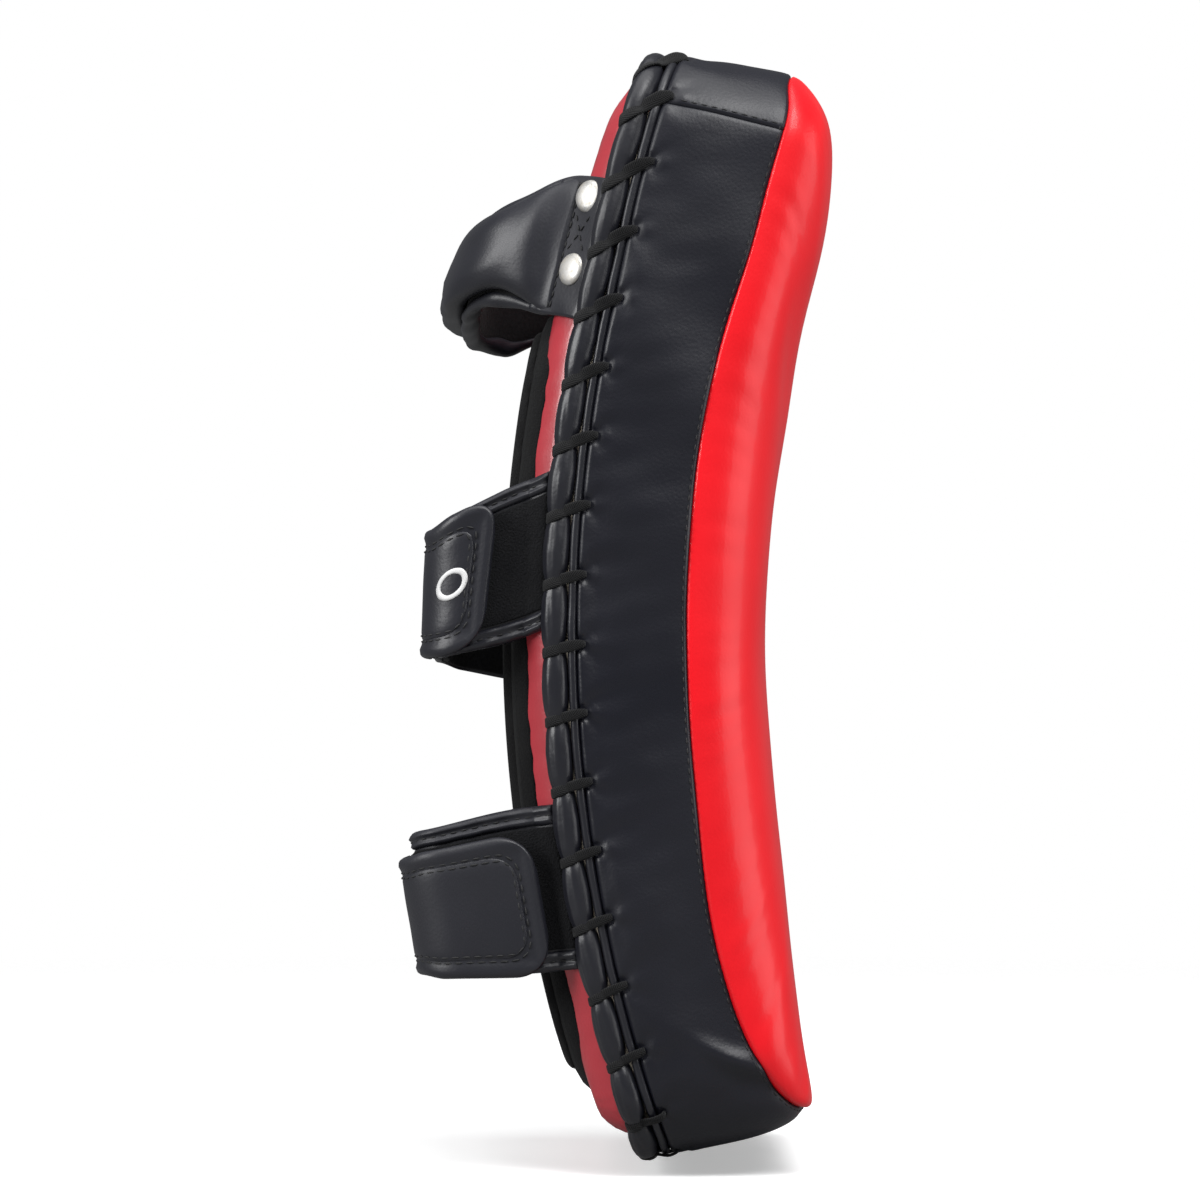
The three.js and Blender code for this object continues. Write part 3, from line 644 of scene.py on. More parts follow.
def gusset_piece(name, q_from, q_to, lift):
    """A stretch of side wall between two slanted ends, each (q, how far q shifts with depth)."""
    count = round((q_to[0] - q_from[0]) / Q_STEP)
    share, depth = np.linspace(0, 1, count)[:, None], GUSSET_ROWS
    start, stop = (at + shift * depth for at, shift in (q_from, q_to))
    q = start + share * (stop - start)
    tuck = 2.6 * bump(depth - 12.0, 1.1) + 0.9 * bump(depth - 52.2, 0.7)
    ends = 0.9 * (bump(share, 0.6 / count) + bump(share - 1, 0.6 / count))
    outer = PAD.place(q, tuck - gusset_relief(q, depth) - lift + ends * 0.5, wall_depth(q, depth))
    few = [-1, -6, -12, -18, 2]
    inner = PAD.place(q[:, few], 1.9, wall_depth(q[:, few], depth[few]) - 0.4)
    return tube(name, np.concatenate([outer, inner], 1), "black")


def gussets():
    slope = TOP_SEAM_DROP / SEAM_DEPTH
    near = PAD.near_side(TOP_REACH - TOP_SEAM)
    far = PAD.length - near
    fasten(gusset_piece("side_gusset", (far - 0.4, slope), (near + 0.4, -slope), 0.0), "long_gusset")
    top = gusset_piece("top_gusset_panel", (near, -slope), (PAD.length + far, slope), 0.45)
    fasten(top, "top_gusset")


def crown_height(scale):
    """Height of the dome at a ring's scale: 1 in the middle, 0 at the seam."""
    return np.sqrt(1 - scale ** CROWN_POWER)


def crown_rows():
    """Ring scale and crown height, from the seam to the middle."""
    angles = np.radians(np.arange(2, 75, 2.4))
    scale = np.cos(angles) ** (2 / CROWN_POWER)
    inner = np.linspace(scale[-1], 0.012, 18)[1:]
    return np.concatenate([scale, inner]), np.concatenate([np.sin(angles), crown_height(inner)])


def crown_depth(q, scale, height):
    """Depth of the strike face. It falls away towards the top end and is thinner at the bottom."""
    s = PAD.middle + (station(q) - PAD.middle) * scale
    low = s + BOTTOM_REACH
    crown = CROWN - TOP_SLACK * np.exp((s - TOP_REACH) / 10) - BOTTOM_SLACK * np.exp(-low / 65)
    crown = crown - TIP_SLACK * np.exp(-low / 4)
    shift = seam_shift(s) * smooth_share(scale, 0.5, 1)
    return SEAM_DEPTH + shift + (crown - shift) * height


def strike_face():
    q = Q[::2]
    x, s, _, _ = PAD.at(q)
    sag = BOTTOM_SAG * low_end(q)
    rim = seam_shift(s)
    rows = [PAD.place(q, inset - sag, depth + rim)
            for inset, depth in ((1.9, 51.4), (1.0, 51.9), (0.35, 52.3))]
    for scale, height in zip(*crown_rows()):
        y = PAD.middle + (s - PAD.middle) * scale
        pucker = 0.32 * ripple(q, 0, 11, 8) * bump((1 - scale) * HALF_WIDTH, 9)
        soft = 0.7 * ripple(x * scale, y, 95, 9) * height
        fold = -1.1 * bump((x * scale + 78) * 0.8 + (y - 118) * 0.35, 9) * bump(y - 112, 42)
        depth = crown_depth(q, scale, height)
        rows.append(PAD.place(q, -sag * scale ** 8, depth + pucker + soft + fold, scale))
    inner = [PAD.place(q, 0, crown_depth(q, r, crown_height(r)) - LEATHER, r * 0.985)
             for r in (0.985, 0.95, 0.88, 0.75, 0.55, 0.3, 0.02)]
    face = dish("strike_face", rows[::-1] + [PAD.place(q, 2.2, 52.6 + rim)] + inner, "red_face")
    fasten(face, "strike_cover")


def back_panel():
    q = Q[::2]
    profile = ((10.3, 4.0), (10.6, 1.8), (12.2, -0.6), (14.6, -3.0), (17.4, -5.3), (20.0, -6.7), (23.0, -7.4))
    rows = [PAD.place(q, inset, depth - 0.35 * ripple(q, depth * 3, 13, 21) * bump(inset - 14, 6))
            for inset, depth in profile]
    rows += [PAD.place(q, 23.0, -7.6 - 0.2 * ripple(q * scale, 0, 40, 22) * scale, scale)
             for scale in (0.96, 0.88, 0.78, 0.66, 0.52, 0.38, 0.24, 0.12, 0.02)]
    roof = [(24.0, -6.0, r) for r in (1.0, 0.9, 0.7, 0.45, 0.2, 0.02)]
    inner = PAD.rings(q, (12.2, 4.2), (15.6, -0.6), (20.8, -5.0), *roof)
    fasten(dish("back_face", rows[::-1] + inner, "red_back_painted_haze"), "back_panel")


def foam_layers():
    q = Q[::6]
    disc = lambda depth: PAD.rings(q, *((FOAM_INSET, depth, r) for r in (0.02, 0.25, 0.5, 0.75, 1)))
    crown = [PAD.place(q, 0, crown_depth(q, r, crown_height(r)) - FOAM_INSET, r * 0.97)
             for r in (0.02, 0.25, 0.5, 0.7, 0.84, 0.93, 0.975)]
    front = crown + PAD.rings(q, (FOAM_INSET, 50)) + disc(FRONT_BACK)[::-1]
    fasten(dish("front_foam_block", front, "foam"), "front_foam")
    middle = disc(MIDDLE_FRONT) + disc(MIDDLE_BACK)[::-1]
    fasten(dish("middle_foam_sheet", middle, "eva"), "middle_foam")
    roof = [(24, -5.2, r) for r in (0.9, 0.7, 0.45, 0.2, 0.02)]
    shoulder = ((FOAM_INSET, 17.6), (13.5, 16.4), (13.5, 4.2), (22.5, -4.6))
    rear = disc(REAR_FRONT) + PAD.rings(q, *shoulder, *roof)
    fasten(dish("rear_foam_block", rear, "foam"), "rear_foam")


# ---------- the laced edge ----------

def slant(q):
    """How far a stitch runs back along the edge as it crosses the roll."""
    return 12.5 - 9.5 * np.clip(lace_share(q) * 1.9, 0, 1)


def roll_place(q, turn, out=0.0):
    """A point on the rolled binding. turn is 0 at its outer side and 90 degrees at its back."""
    crossing = slant(q) * np.interp(np.sin(turn), [-1, 1], [0.3, 1.0])
    apart = hole_distance(q + crossing)
    tight = 0.09 + 0.13 * lace_share(q)
    size = 1 - tight * bump(apart, 2.9) + 0.065 * np.cos(apart / PITCH * math.tau + math.pi)
    belly = bump(hole_distance(q + crossing + PITCH / 2), 8.5)
    wander = 0.25 * ripple(q, 0, 47, 31)
    size = size - 0.075 * bump(turn - 1.05 - wander * 0.3, 0.10)
    size = size - 0.085 * (0.35 + lace_share(q)) * belly * bump(turn - 0.42 - wander, 0.11)
    size = size - 0.07 * (0.2 + lace_share(q)) * belly * bump(turn + 0.18 + wander, 0.10)
    size = size - 0.06 * (1 - belly) * bump(turn + 0.55 + wander, 0.12)
    size = size + 0.012 * ripple(q, turn * 9, 9, 32)
    inset = ROLL_MIDDLE[0] - (ROLL_HALF[0] * size + out) * np.cos(turn)
    depth = ROLL_MIDDLE[1] - (ROLL_HALF[1] * size + out) * np.sin(turn)
    return inset, depth


def rolled_binding():
    turn = circle(40)
    inset, depth = roll_place(Q[:, None], turn)
    roll = tube("rolled_binding", PAD.place(Q[:, None], inset, depth), "black_roll", closed=True)
    fasten(roll, "lacing_roll")
    turn = circle(12)
    q = Q[::2, None]
    wave = 0.18 * ripple(q, 0, 21, 33)
    radius = 1.55 - 0.25 * bump(hole_distance(q), 2.5)
    inset = 1.9 + wave - radius * np.cos(turn)
    depth = 11.1 + wave * 0.7 - radius * np.sin(turn)
    fasten(tube("thin_piping", PAD.place(q, inset, depth), "black_roll", closed=True), "edge_piping")


def smooth_path(points, count):
    """A Catmull-Rom curve through points, resampled evenly by its own steps."""
    points = np.asarray(points, float)
    padded = np.vstack([2 * points[0] - points[1], points, 2 * points[-1] - points[-2]])
    t = np.linspace(0, len(points) - 1 - 1e-9, count)
    i, f = t.astype(int), (t % 1)[:, None]
    a, b, c, d = (padded[i + k] for k in range(4))
    square, cube = 2 * a - 5 * b + 4 * c - d, 3 * b - a - 3 * c + d
    return 0.5 * (2 * b + (c - a) * f + square * f ** 2 + cube * f ** 3)


def ribbon_rings(path, outward, widths, thickness):
    """Sections of a flat lace along a path, with rounded edges."""
    along = unit(np.gradient(path, axis=0))
    side = unit(np.cross(along, outward))
    out = unit(np.cross(side, along))
    around = circle(12)
    across = np.sign(np.cos(around)) * np.abs(np.cos(around)) ** 0.6
    thick = np.sign(np.sin(around)) * np.abs(np.sin(around)) ** 0.8
    half = np.asarray(widths)[:, None, None] / 2
    return (path[:, None] + side[:, None] * across[:, None] * half
            + out[:, None] * thick[:, None] * thickness / 2), across


def lace_stitch(q_hole, rng):
    """The path of one stitch: out of its hole, back along the piping, and over the roll."""
    run = float(slant(np.array(q_hole))) * rng.uniform(0.92, 1.08)
    steps = [(0.0, 3.4, 15.9), (0.0, 1.0, 15.4), (0.02, -0.6, 14.4), (0.10, -0.85, 12.7), (0.20, -0.5, 10.9)]
    path = [(q_hole - share * run, inset, depth) for share, inset, depth in steps]
    for turn in np.radians([-32, 0, 35, 70, 105, 140, 170, 195]):
        share = 1.0 + (turn - 1.6) * 0.06
        if turn < math.pi / 2:
            share = np.interp(math.sin(turn), [-1, 1], [0.3, 1.0])
        q = q_hole - share * run
        inset, depth = roll_place(np.array(q), turn, 0.42)
        path.append((q, float(inset), float(depth)))
    path = smooth_path(path, 44)
    placed = PAD.place(*path.T)
    centre = PAD.place(path[:, 0], 4.6, 8.0)
    tight = float(lace_share(np.array(q_hole)))
    widths = np.interp(np.arange(44), [0, 6, 12, 43], [2.0, 2.7, 4.9 - 1.7 * tight, 4.7 - 1.5 * tight])
    return placed, placed - centre, widths


def whipped_lace():
    rng = np.random.default_rng(17)
    points, faces, uvs, start = [], [], [], 0
    for k in range(STITCH_COUNT):
        path, outward, widths = lace_stitch(FIRST_HOLE + k * PITCH, rng)
        rings, across = ribbon_rings(path, outward, widths, 1.1)
        faces += tube_faces(*rings.shape[:2], start=start)
        start += rings.shape[0] * rings.shape[1]
        points.append(rings.reshape(-1, 3))
        weave = np.broadcast_arrays(run_along(path)[:, None], across * widths[:, None] / 2)
        uvs.append(np.stack(weave, -1).reshape(-1, 2))
    fasten(make("whipped_lace", np.vstack(points), faces, "lace", np.vstack(uvs)), "edge_lace")


# ---------- sewing ----------

def stitch_mesh(name, paths, length=2.6, gap=1.3, radius=0.33):
    """Raised thread stitches along paths, each a pair of (points, outward normals)."""
    rings, sides, lift = 5, 6, 0.1
    swell = np.sin(np.linspace(0.25, math.pi - 0.25, rings))[:, None, None]
    reach = np.linspace(-0.5, 0.5, rings)[:, None, None]
    around = circle(sides)[:, None]
    points, faces = [], []
    for path, normals in paths:
        run = run_along(path)
        pick = lambda values, d: np.array([np.interp(d, run, values[:, i]) for i in range(3)])
        count = int(run[-1] // (length + gap))
        for k in range(count):
            middle = (k + 0.5) * run[-1] / count
            a, b = pick(path, middle - length / 2), pick(path, middle + length / 2)
            out = unit(pick(unit(normals), middle))
            side = unit(np.cross(b - a, out))
            faces += tube_faces(rings, sides, start=len(points) * rings * sides)
            thread = (side * np.cos(around) + out * np.sin(around)) * radius * swell
            points.append(((a + b) / 2 + out * lift + (b - a) * reach + thread).reshape(-1, 3))
    return make(name, np.vstack(points), faces, "thread")


def case_sewing():
    q = Q[::3]
    path = PAD.place(q, -gusset_relief(q, 50.4), wall_depth(q, 50.4))
    fasten(stitch_mesh("strike_seam_stitches", [(path, path - PAD.place(q, 10, 50.4))], 2.3, 1.3, 0.3))
    depth = np.linspace(17.5, 50, 24)
    lines = []
    for side in (-1, 1):
        q = np.array([top_seam_q(side, d) for d in depth]) - side * 1.6
        path = PAD.place(q, -gusset_relief(q, depth) - 0.45, wall_depth(q, depth))
        lines.append((path, path - PAD.place(q, 10, depth)))
    fasten(stitch_mesh("top_panel_stitches", lines, 2.2, 1.2, 0.28))


# ---------- straps and grip: their own coordinates ----------

def perch(s, drift, narrow):
    """A place function that stands square on the pad at s. drift(x, n) moves a point along the
    pad, and narrow(n) scales its w."""
    angle = s / ARC_MIDDLE
    outward = np.array([0, math.cos(angle), math.sin(angle)])
    upward = np.array([0, -math.sin(angle), math.cos(angle)])
    foot = bend(0, s, 0) - top_back(s, 0.0) * outward

    def place(x, n, w):
        x, n, w = np.broadcast_arrays(*(np.asarray(v, float) for v in (x, n, w)))
        up = w * narrow(n) + drift(x, n)
        put = foot + (n + top_back(s + up, -n))[..., None] * outward + up[..., None] * upward
        put[..., 0] = x
        return put

    return place


def strap_place(strap, drift, spread):
    near, far, top = drift
    rise = strap["rise"]

    def drifted(x, n):
        root = near + (far - near) * (x + WALL_X) / (WALL_X + FAR_X)
        return root + (top - root) * np.minimum(n / rise, 1)

    low, high = spread

    def narrow(n):
        """The width changes from root to top, and the edges round over at the very top."""
        rounded = 1 - STRAP_ROUNDING * smooth_share(n, rise - 8, rise + 1)
        return (low + (high - low) * smooth_share(n, rise / 6, rise)) * rounded

    return perch(strap["station"], drifted, narrow)


def even(path, step):
    """Resamples an (x, n) polyline at even steps."""
    path = np.asarray(path, float)
    run = run_along(path)
    count = max(int(run[-1] / step), 2) + 1
    at = np.linspace(0, run[-1], count)
    return np.stack([np.interp(at, run, path[:, i]) for i in range(2)], 1), at


def path_normals(path):
    """Normals to the right of a path, which are outwards where it runs from far to near."""
    along = unit(np.gradient(path, axis=0))
    return np.stack([along[:, 1], -along[:, 0]], 1)


def turned(centre, radius, start, stop):
    """An arc of (x, n) points round a centre, between two angles in degrees."""
    turn = np.radians(np.linspace(start, stop, 9))
    return [(centre[0] + radius * math.cos(a), centre[1] + radius * math.sin(a)) for a in turn]


def strip(name, path, place, half, thickness, look="black_strap_painted_light", away=0.0, middle=0.0, relief=None,
          tip=0.0, lean=0.0, step=1.5, across=10):
    """A flat layer along an (x, n) path: rounded long edges, and a rounded, leaning tip if asked."""
    line, run = even(path, step)
    normals = path_normals(line)
    left = run[-1] - run
    halves = np.full(len(run), float(half))
    if tip:
        near = left < tip
        halves[near] = half - tip + np.sqrt(np.maximum(tip ** 2 - (tip - left[near]) ** 2, 0))
    radius = thickness / 2
    turn = np.radians(np.linspace(-90, 90, 6))
    flat = np.linspace(-1, 1, across)[1:-1]
    over = np.concatenate([np.cos(turn), flat * 0, -np.cos(turn), flat * 0]) * radius
    base = np.concatenate([np.ones(6), -flat, -np.ones(6), flat])
    high = np.concatenate([np.sin(turn), flat * 0 + 1, -np.sin(turn), flat * 0 - 1]) * radius
    thin = np.clip(np.minimum(run, left) / radius + 0.35, 0, 1)[:, None]
    w = base * (halves[:, None] - radius) + over + middle
    lift = high * thin + away
    if relief is not None:
        lift = lift + relief(run[:, None], w)
    at = run[:, None] + lean * w * (run[:, None] / run[-1]) ** 2
    past = np.maximum(at - run[-1], 0) / step
    pick = lambda values: np.interp(at, run, values)
    x, n = (pick(line[:, i]) + past * (line[-1, i] - line[-2, i]) + pick(normals[:, i]) * lift
            for i in (0, 1))
    return tube(name, place(x, n, w), look)


def raised(place, x, n, out_x, out_n, w, away):
    """Points at a height over a path, and their outward normals."""
    point = place(x + out_x * away, n + out_n * away, w)
    return point, place(x + out_x * (away + 1), n + out_n * (away + 1), w) - point


def on_strip(path, place, w, away):
    """A line along a strip, at one w."""
    line, _ = even(path, 1.0)
    return raised(place, *line.T, *path_normals(line).T, w, away)


def follow(path, place, outline, away):
    """A line over a strip, through the outline's points of (path run, w)."""
    line, run = even(path, 0.5)
    along, w = np.asarray(outline).T
    columns = (*line.T, *path_normals(line).T)
    return raised(place, *(np.interp(along, run, values) for values in columns), w, away)


# ---------- the straps ----------

def strap_paths(strap):
    rise, radius, tip = strap["rise"], strap["bend"], strap["tip"]
    near = (-WALL_X + radius, rise - radius)
    far = (FAR_X - radius, rise - radius)
    sunk = 5.6
    crown = lambda x: rise + 1.2 * (math.cos(x / 75) - math.cos(1))
    top = [(x, crown(x)) for x in np.linspace(far[0], near[0], 25)]
    under = [(x, n - 2.6 * smooth_share(-x, -70, 0)) for x, n in top[1:]]
    over = [(86.8, -1.6), (85.6, 1.2), (84.3, 5.0)] + turned(far, radius, 0, 90) + under
    flap = [p for p in top if p[0] < -38] + turned(near, radius, 90, 180) + [(-WALL_X, tip)]
    band = [(near[0] + 6, rise - sunk)] + turned(near, radius - sunk, 90, 180)
    band += [(-WALL_X + sunk - 0.3, 5.5), (-85.6, 1.4), (-87.4, -1.8)]
    return over, flap, band


def strap_blends(strap, place):
    """Where the leather starts and stops bending over each hinge."""
    rise, radius = strap["rise"], strap["bend"]
    hinge_x = -WALL_X + radius
    ends = {"swing": ((86.0, 1.0), (84.0, 15.0)), "fold": ((-85.5, 0.5), (-83.5, 13.0)),
            "peel": ((hinge_x + 13, rise + 1), (hinge_x - 11, rise - 5))}
    return {hinge: [tuple(place(x, n, 0) * MM) for x, n in pair] for hinge, pair in ends.items()}


def tip_outline(path, half, tip, lean, margin):
    """The stitched outline of a flap: up one edge, round the tip and back, as (path run, w)."""
    line, run = even(path, 1.0)
    inner, round_off = half - margin, max(tip - margin, 2.0)
    end = run[-1] - margin
    sides = [(d, -inner) for d in np.arange(16, end - round_off, 2.0)]
    corner = [(end - round_off + round_off * math.sin(a), -inner + round_off - round_off * math.cos(a))
              for a in np.linspace(0, math.pi / 2, 9)]
    front = sides + corner
    whole = front + [(d, -w) for d, w in reversed(front)]
    return [(d + lean * w * (d / run[-1]) ** 2, w) for d, w in whole]


class Strap:
    """One strap: where its layers lie, and the bodies and end points that it gives each hinge."""

    def __init__(self, name, sizes):
        self.name, self.half, self.seed = name, sizes["width"] / 2, sizes["seed"]
        self.tip, self.lean = sizes["round"], sizes["lean"]
        self.place = strap_place(sizes, sizes["drift"], sizes["spread"])
        self.band_place = strap_place(sizes, **sizes["band"])
        self.over, self.flap, self.band = strap_paths(sizes)
        self.ends = strap_blends(sizes, self.place)
        body, flap, band = (f"{name}_{part}" for part in ("strap", "flap", "band"))
        self.bodies = {"swing": ("pad", body), "peel": (body, flap), "fold": ("pad", band)}

    def uneven(self, size, spacing, layer, stretch=1):
        """A small unevenness, which is different on each layer and strap."""
        return lambda run, w: size * ripple(run, w * stretch, spacing, self.seed + layer)

    def hang(self, piece, hinge, node=None):
        """Bakes a piece's transform into its mesh, and hides the CAD node that it stands for, if one is
        given.
        """
        if node:
            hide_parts(f"{self.name}_{node}")
        first, second = self.bodies[hinge]
        start, end = self.ends[hinge]
        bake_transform(piece)
        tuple(start)
        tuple(end)


def strap_layers(strap):
    name, place, half = strap.name, strap.place, strap.half
    bumps = strap.uneven(0.25, 34, 0)
    rolled = lambda run, w: bumps(run, w) + 0.35 * bump(np.abs(w) - half + 1.2, 1.2)
    outer = strip(f"{name}_strap_leather", strap.over, place, half, 2.3, relief=rolled)
    strap.hang(outer, "swing", "strap")
    lining = strip(f"{name}_strap_inner", strap.over[2:], place, half - 1, 2.6, "lining", away=-2.5,
                   relief=strap.uneven(0.3, 26, 1))
    strap.hang(lining, "swing", "strap_lining")
    lines = [on_strip(strap.over[3:], place, sign * (half - 3.2), 1.25) for sign in (-1, 1)]
    strap.hang(stitch_mesh(f"{name}_strap_stitches", lines), "swing")


def flap_layers(strap):
    name, place, half, flap = strap.name, strap.place, strap.half, strap.flap
    tip, lean = strap.tip, strap.lean
    end = even(flap, 1.0)[1][-1]
    cover_bumps, patch_bumps = strap.uneven(0.12, 30, 2), strap.uneven(0.12, 22, 3)

    def padded_rim(run, w):
        """The flap's rim is rolled over a cord, and its middle lies lower."""
        inside = np.minimum(half - np.abs(w), np.maximum(end - run, 0) + 0.5)
        return 0.95 * bump(inside - 2.9, 2.2) + cover_bumps(run, w) - 1.0 * bump(run, 9)

    def patch_relief(run, w):
        return patch_bumps(run, w) - 0.4 * bump(np.abs(w) - half + PATCH_MARGIN, 1.5)

    cover = strip(f"{name}_flap_leather", flap, place, half, 2.9, away=0.15, tip=tip, lean=lean,
                  relief=padded_rim, across=26, step=1.1)
    strap.hang(cover, "peel", "flap")
    patch_path = flap[:-1] + [(flap[-1][0], flap[-1][1] + PATCH_MARGIN)]
    panel = strip(f"{name}_flap_patch", patch_path, place, half - PATCH_MARGIN, 1.3, away=1.5,
                  tip=tip - 4, lean=lean, relief=patch_relief, across=16)
    strap.hang(panel, "peel", "flap_panel")
    lines = [follow(flap, place, tip_outline(flap, half, tip, lean, margin), away)
             for margin, away in ((6.4, 1.75), (8.6, 2.0))]
    strap.hang(stitch_mesh(f"{name}_flap_stitches", lines, 2.9, 1.1, 0.36), "peel")
    hook = strip(f"{name}_hook_tape", flap[-9:], place, half - 4, 1.0, "tape", away=-1.7,
                 tip=max(tip - 4, 3), lean=lean)
    fasten(hook, f"{name}_flap_hook", body=f"{name}_flap")


def band_layers(strap):
    name, band, place, half = strap.name, strap.band, strap.band_place, strap.half
    strap.hang(strip(f"{name}_band_leather", band, place, half - 5, 2.2), "fold", "band")
    loop = strip(f"{name}_loop_tape", band, place, half - BINDING - 0.4, 1.1, "tape", away=1.5,
                 relief=strap.uneven(0.12, 7, 4))
    strap.hang(loop, "fold", "band_loop")
    bumps = strap.uneven(0.25, 9, 5, 2)
    for sign, level in ((1, "upper"), (-1, "lower")):
        centre = sign * (half - BINDING / 2)
        welt = lambda run, w: 0.75 * bump(np.abs(w - centre) - BINDING / 4, 0.9) + bumps(run, w)
        edge = strip(f"{name}_bound_edge_{level}", band, place, BINDING / 2, 3.2, away=0.5,
                     middle=centre, relief=welt, across=16, step=1.0)
        strap.hang(edge, "fold", f"band_binding_{level}")
    lines = [on_strip(band, place, sign * (half - BINDING / 2), 2.1) for sign in (-1, 1)]
    strap.hang(stitch_mesh(f"{name}_band_stitches", lines, 2.4, 1.3), "fold")


def flap_mark(strap):
    """A plain white ring printed on the flap."""
    middle = even(strap.flap, 0.5)[1][-1] - 13.5
    turn = circle(39)
    rings = []
    for radius, away in ((3.6, 2.3), (4.2, 2.42), (4.8, 2.42), (5.4, 2.3), (5.4, 1.9), (3.6, 1.9)):
        outline = np.stack([middle + radius * np.sin(turn), radius * np.cos(turn)], 1)
        rings.append(follow(strap.flap, strap.place, outline, away)[0])
    strap.hang(tube("flap_ring_print", np.stack(rings), "print", closed=True), "peel")


# ---------- the forearm cushion ----------

CUSHION = Outline(*CUSHION_SIZES)


def apply_modifier(piece, kind, **settings):
    bpy.context.view_layer.objects.active = piece
    made = piece.modifiers.new(kind.lower(), kind)
    for key, value in settings.items():
        setattr(made, key, value)
    bpy.ops.object.modifier_apply(modifier=made.name)


def read_points(mesh):
    return np.array([v.co for v in mesh.vertices])


def write_points(piece, points):
    piece.data.vertices.foreach_set("co", points.astype(np.float32).ravel())


def swell_cloth(piece, cap):
    """Blows the piece up as sewn cloth, and limits how far it may move."""
    rest = read_points(piece.data)
    sim = piece.modifiers.new("cloth", "CLOTH")
    sim.settings.use_pressure = True
    sim.settings.uniform_pressure_force = CLOTH_PRESSURE
    sim.settings.effector_weights.gravity = 0
    sim.settings.quality = 5
    for step in range(1, CLOTH_FRAMES + 1):
        bpy.context.scene.frame_set(step)
    shaped = piece.evaluated_get(bpy.context.evaluated_depsgraph_get()).to_mesh()
    step = read_points(shaped) - rest
    piece.to_mesh_clear()
    piece.modifiers.remove(sim)
    bpy.context.scene.frame_set(1)
    length = np.linalg.norm(step, axis=1, keepdims=True)
    write_points(piece, rest + step * np.minimum(1, cap / np.maximum(length, 1e-9)))
    piece.data.update()


def forearm_cushion():
    q = np.linspace(0, CUSHION.length, 240, endpoint=False)
    side = [(1.6, -7.6), (0.9, -9.0), (1.0, -10.6), (2.4, -11.9), (5.5, -12.6), (10, -12.8)]
    shares = (0.02, 0.3, 0.6, 0.85)
    steps = [(1.6, -7.6, r) for r in shares] + side + [(10, -12.9, r) for r in shares[::-1]]
    pad = dish("forearm_cushion", CUSHION.rings(q, *steps), "cushion")
    apply_modifier(pad, "REMESH", mode="VOXEL", voxel_size=CLOTH_VOXEL)
    swell_cloth(pad, CLOTH_SWELL)
    apply_modifier(pad, "SMOOTH", factor=0.5, iterations=4)
    lift_off_panel(pad)
    apply_modifier(pad, "SUBSURF", levels=1, render_levels=1)
    pad.data.shade_smooth()
    fasten(pad, "forearm_cushion_cover")


def cushion_details():
    """The seam, the bound foot and the foam core of the forearm cushion."""
    q = np.linspace(0, CUSHION.length, 320)
    seam = CUSHION.place(q, 0.6, -8.6)
    lines = [(seam, seam - CUSHION.place(q, 12, -8.0))]
    fasten(stitch_mesh("cushion_seam_stitches", lines, 2.6, 1.8, 0.3))
    foot = [(-6.9, -4.8), (-6.3, -6.1), (-4.4, -8.0), (-1.4, -9.9), (3.6, -11.2), (3.8, -8.0), (-4.6, -4.9)]
    wave = 0.25 * ripple(q[:-1], 0, 24, 41)
    binding = np.stack([CUSHION.place(q[:-1], inset - wave, depth) for inset, depth in foot], 1)
    fasten(tube("cushion_edge_binding", binding, "cushion", closed=True))
    steps = [(5.2, -8.6, r) for r in (0.02, 0.5, 1)] + [(6.2, -11.0, r) for r in (1, 0.5, 0.02)]
    fasten(dish("forearm_cushion_core", CUSHION.rings(q[::4][:-1], *steps), "foam"), "forearm_cushion_foam")


def lift_off_panel(pad):
    """Keeps the cushion's underside out of the back panel."""
    points = read_points(pad.data) / MM
    y, z = points[:, 1] + LAND_REACH, points[:, 2] + LAND_Z
    radius = np.hypot(y, z)
    kept = np.maximum(radius, BACK_RADIUS + PANEL_CLEAR)
    points[:, 1] = y * kept / radius - LAND_REACH
    points[:, 2] = z * kept / radius - LAND_Z
    write_points(pad, points * MM)


# ---------- the grip ----------

def over_slope(side, along, out):
    """A point over the panel's slope, as (x, n): along it from its edge, and out of it."""
    inset = 11.2 + SLOPE[0] * along - SLOPE[1] * out
    return side * (HALF_WIDTH - inset), -1.5 + SLOPE[1] * along + SLOPE[0] * out


def grip_narrow(n):
    return 1 - (1 - GRIP["bar"] / GRIP["tab"]) * smooth_share(n, 8, 36)


def grip_drift(x, n):
    """The grip droops as it rises, and its far half sags below its near half."""
    share = smooth_share(x, -55, 60) * smooth_share(n, 12, 26) * (1 - smooth_share(n, 34, 50) / 2)
    return -(GRIP["droop"][0] * n + GRIP["droop"][1] * n * n) - GRIP["sag"] * share


def grip_path():
    top = GRIP["top"]
    half = [over_slope(1, 13.5, 1.6), (73.5, 15.5), (70, 25), (62, 36), (45, top - 7.6), (20, top - 5.2)]
    whole = half + [(-x, n) for x, n in reversed(half)]
    return smooth_path(whole, 90)


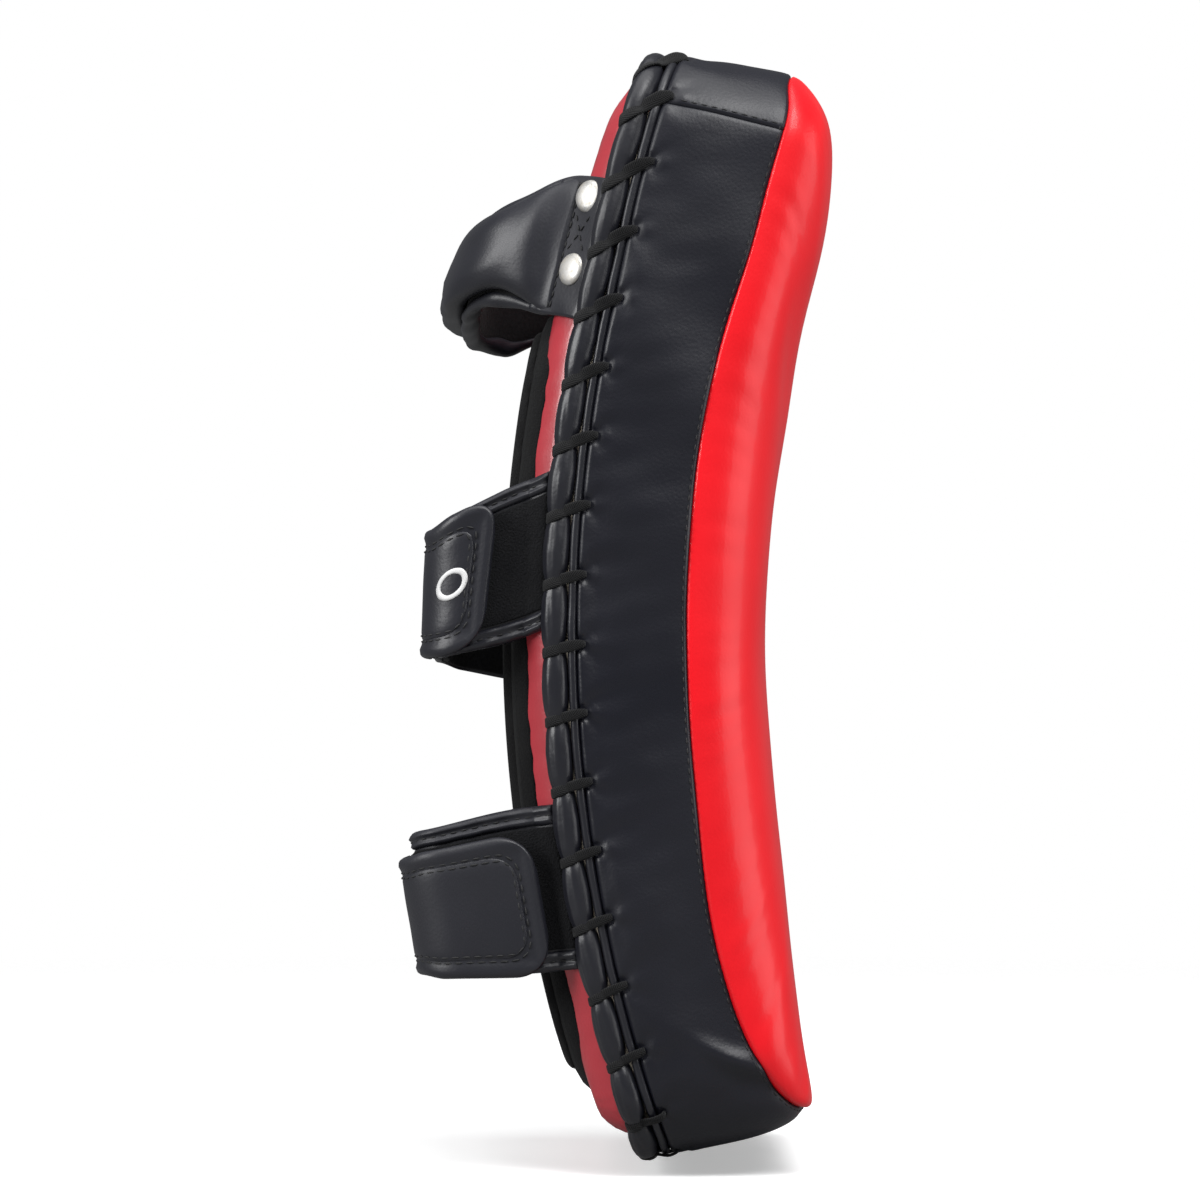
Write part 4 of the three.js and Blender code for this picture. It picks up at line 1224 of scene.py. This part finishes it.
def make_grip():
    place = perch(GRIP["station"], grip_drift, grip_narrow)
    path, run = even(grip_path(), 1.6)
    normals = path_normals(path)
    half = GRIP["tab"] / 2
    narrow = grip_narrow(path[:, 1:2])
    share = run / run[-1]
    from_end = np.minimum(share, 1 - share)[:, None]
    full = smooth_share(from_end, 0, 0.13)
    lifted = lambda lift: [path[:, i:i + 1] + normals[:, i:i + 1] * lift for i in (0, 1)]
    run = run[:, None]

    around = circle(40)
    across = np.sign(np.cos(around)) * np.abs(np.cos(around)) ** 0.62
    raised_side = np.maximum(np.sin(around), 0) ** 0.72
    sunk_side = np.minimum(np.sin(around), 0)
    puff = 1.6 + 5.4 * smooth_share(from_end, 0.0, 0.075) + 1.5 * full
    wrinkle = 0.5 * ripple(run, across * 20, 30, 71) + 0.3 * ripple(run, across * 12, 11, 72) * (1 - full)
    lift = -GRIP_SINK * full + raised_side * (puff + wrinkle) + sunk_side * 1.4
    w = across * (half - 1.0) + GRIP_EDGE * full * np.maximum(-across, 0) / narrow
    cover = tube("grip_padded_cover", place(*lifted(lift), w), "black_strap_painted_light")
    fasten(cover, "grip_cover", "grip_foam")

    inner = np.hstack(lifted(-GRIP_SINK * full - 2.2))
    lining = strip("grip_inner_lining", inner[3:-3], place, half - 2.2, 1.4, "lining",
                   relief=lambda r, v: 0.35 * ripple(r, v, 18, 73))
    fasten(lining, "grip_lining")
    turn = circle(20)
    for sign, level, drop, swell in ((1, "upper", 0, 0.6), (-1, "lower", 2.4, 1.7)):
        radius = 1.3 + swell * full + 0.3 * ripple(run, sign * 40, 34, 74)
        lift = -GRIP_SINK * full - 1.4 - drop * full + radius * np.sin(turn)
        w = sign * (half - 1.2) + radius * np.cos(turn) / narrow
        fasten(tube(f"grip_rim_{level}", place(*lifted(lift), w), "black_strap_painted_light"))
    for side, label in ((-1, "near"), (1, "far")):
        grip_tab(side, label, place)


def grip_tab(side, label, place):
    """A tab is sewn and riveted to the back panel's slope."""
    path = [over_slope(side, along, 1.5) for along in (-3.5, 0, 4, 8, 12.5, 15.5, 18.5)]
    path.append((side * 73.0, 16.5))
    if side < 0:
        path = path[::-1]
    half = GRIP["tab"] / 2
    relief = lambda run, w: 0.25 * ripple(run, w, 15, 80) - 0.3 * bump(np.abs(w) - half + 4, 1.2)
    tab = strip(f"grip_tab_{label}_leather", path, place, half, 2.4, relief=relief)
    fasten(tab, f"grip_tab_{label}")
    high, low = RIVET_PLACES[0] - 6.5, RIVET_PLACES[1] + 6.5
    ends = (((2.0, high), (11.5, low)), ((11.5, high), (2.0, low)),
            ((12.6, 24.0), (12.6, -24.0)), ((13.8, 24.0), (13.8, -24.0)))
    lines = []
    for (a, v), (b, w) in ends:
        steps = [(a + (b - a) * t, v + (w - v) * t) for t in np.linspace(0, 1, 12)]
        line, higher = (np.array([place(*over_slope(side, along, out), up) for along, up in steps])
                        for out in (2.8, 3.8))
        lines.append((line, higher - line))
    fasten(stitch_mesh(f"grip_tab_{label}_stitches", lines, 2.6, 0.9, 0.36))
    for w, level in zip(RIVET_PLACES, ("upper", "lower")):
        rivet(side, label, level, w)


def rivet(side, label, level, w):
    base = perch(GRIP["station"], grip_drift, lambda n: 1.0)
    at = lambda out: base(*over_slope(side, 6.3, out), w)
    foot, out = at(2.9), unit(at(3.9) - at(2.9))
    across = unit(np.cross(out, np.array([0, 0.25, 0.97])))
    along = np.cross(out, across)
    profile = [(0.02, 1.55), (2.0, 1.5), (4.0, 1.25), (5.2, 0.85), (5.8, 0.3), (6.0, -0.2), (5.7, -0.5),
               (2.4, -0.6), (2.1, -1.2), (2.1, -4.0), (0.02, -4.1)]
    turn = circle(40)[:, None]
    rings = [foot + out * height + radius * (np.cos(turn) * across + np.sin(turn) * along)
             for radius, height in profile]
    fasten(dish(f"rivet_{label}_{level}_cap", rings, "nickel"), f"rivet_{label}_{level}")


def paint_cad_nodes():
    """The burrs keep their CAD shape inside the pad."""
    for name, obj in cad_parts.items():
        if name.startswith("burr"):
            for place in obj.material_slots:
                place.material = LOOKS["nickel"]


place_camera()
studio()
strike_face()
gussets()
back_panel()
foam_layers()
rolled_binding()
whipped_lace()
case_sewing()
forearm_cushion()
cushion_details()
make_grip()
for strap_name, strap_sizes in STRAPS.items():
    made_strap = Strap(strap_name, strap_sizes)
    strap_layers(made_strap)
    flap_layers(made_strap)
    band_layers(made_strap)
    if strap_name == "middle":
        flap_mark(made_strap)
paint_cad_nodes()
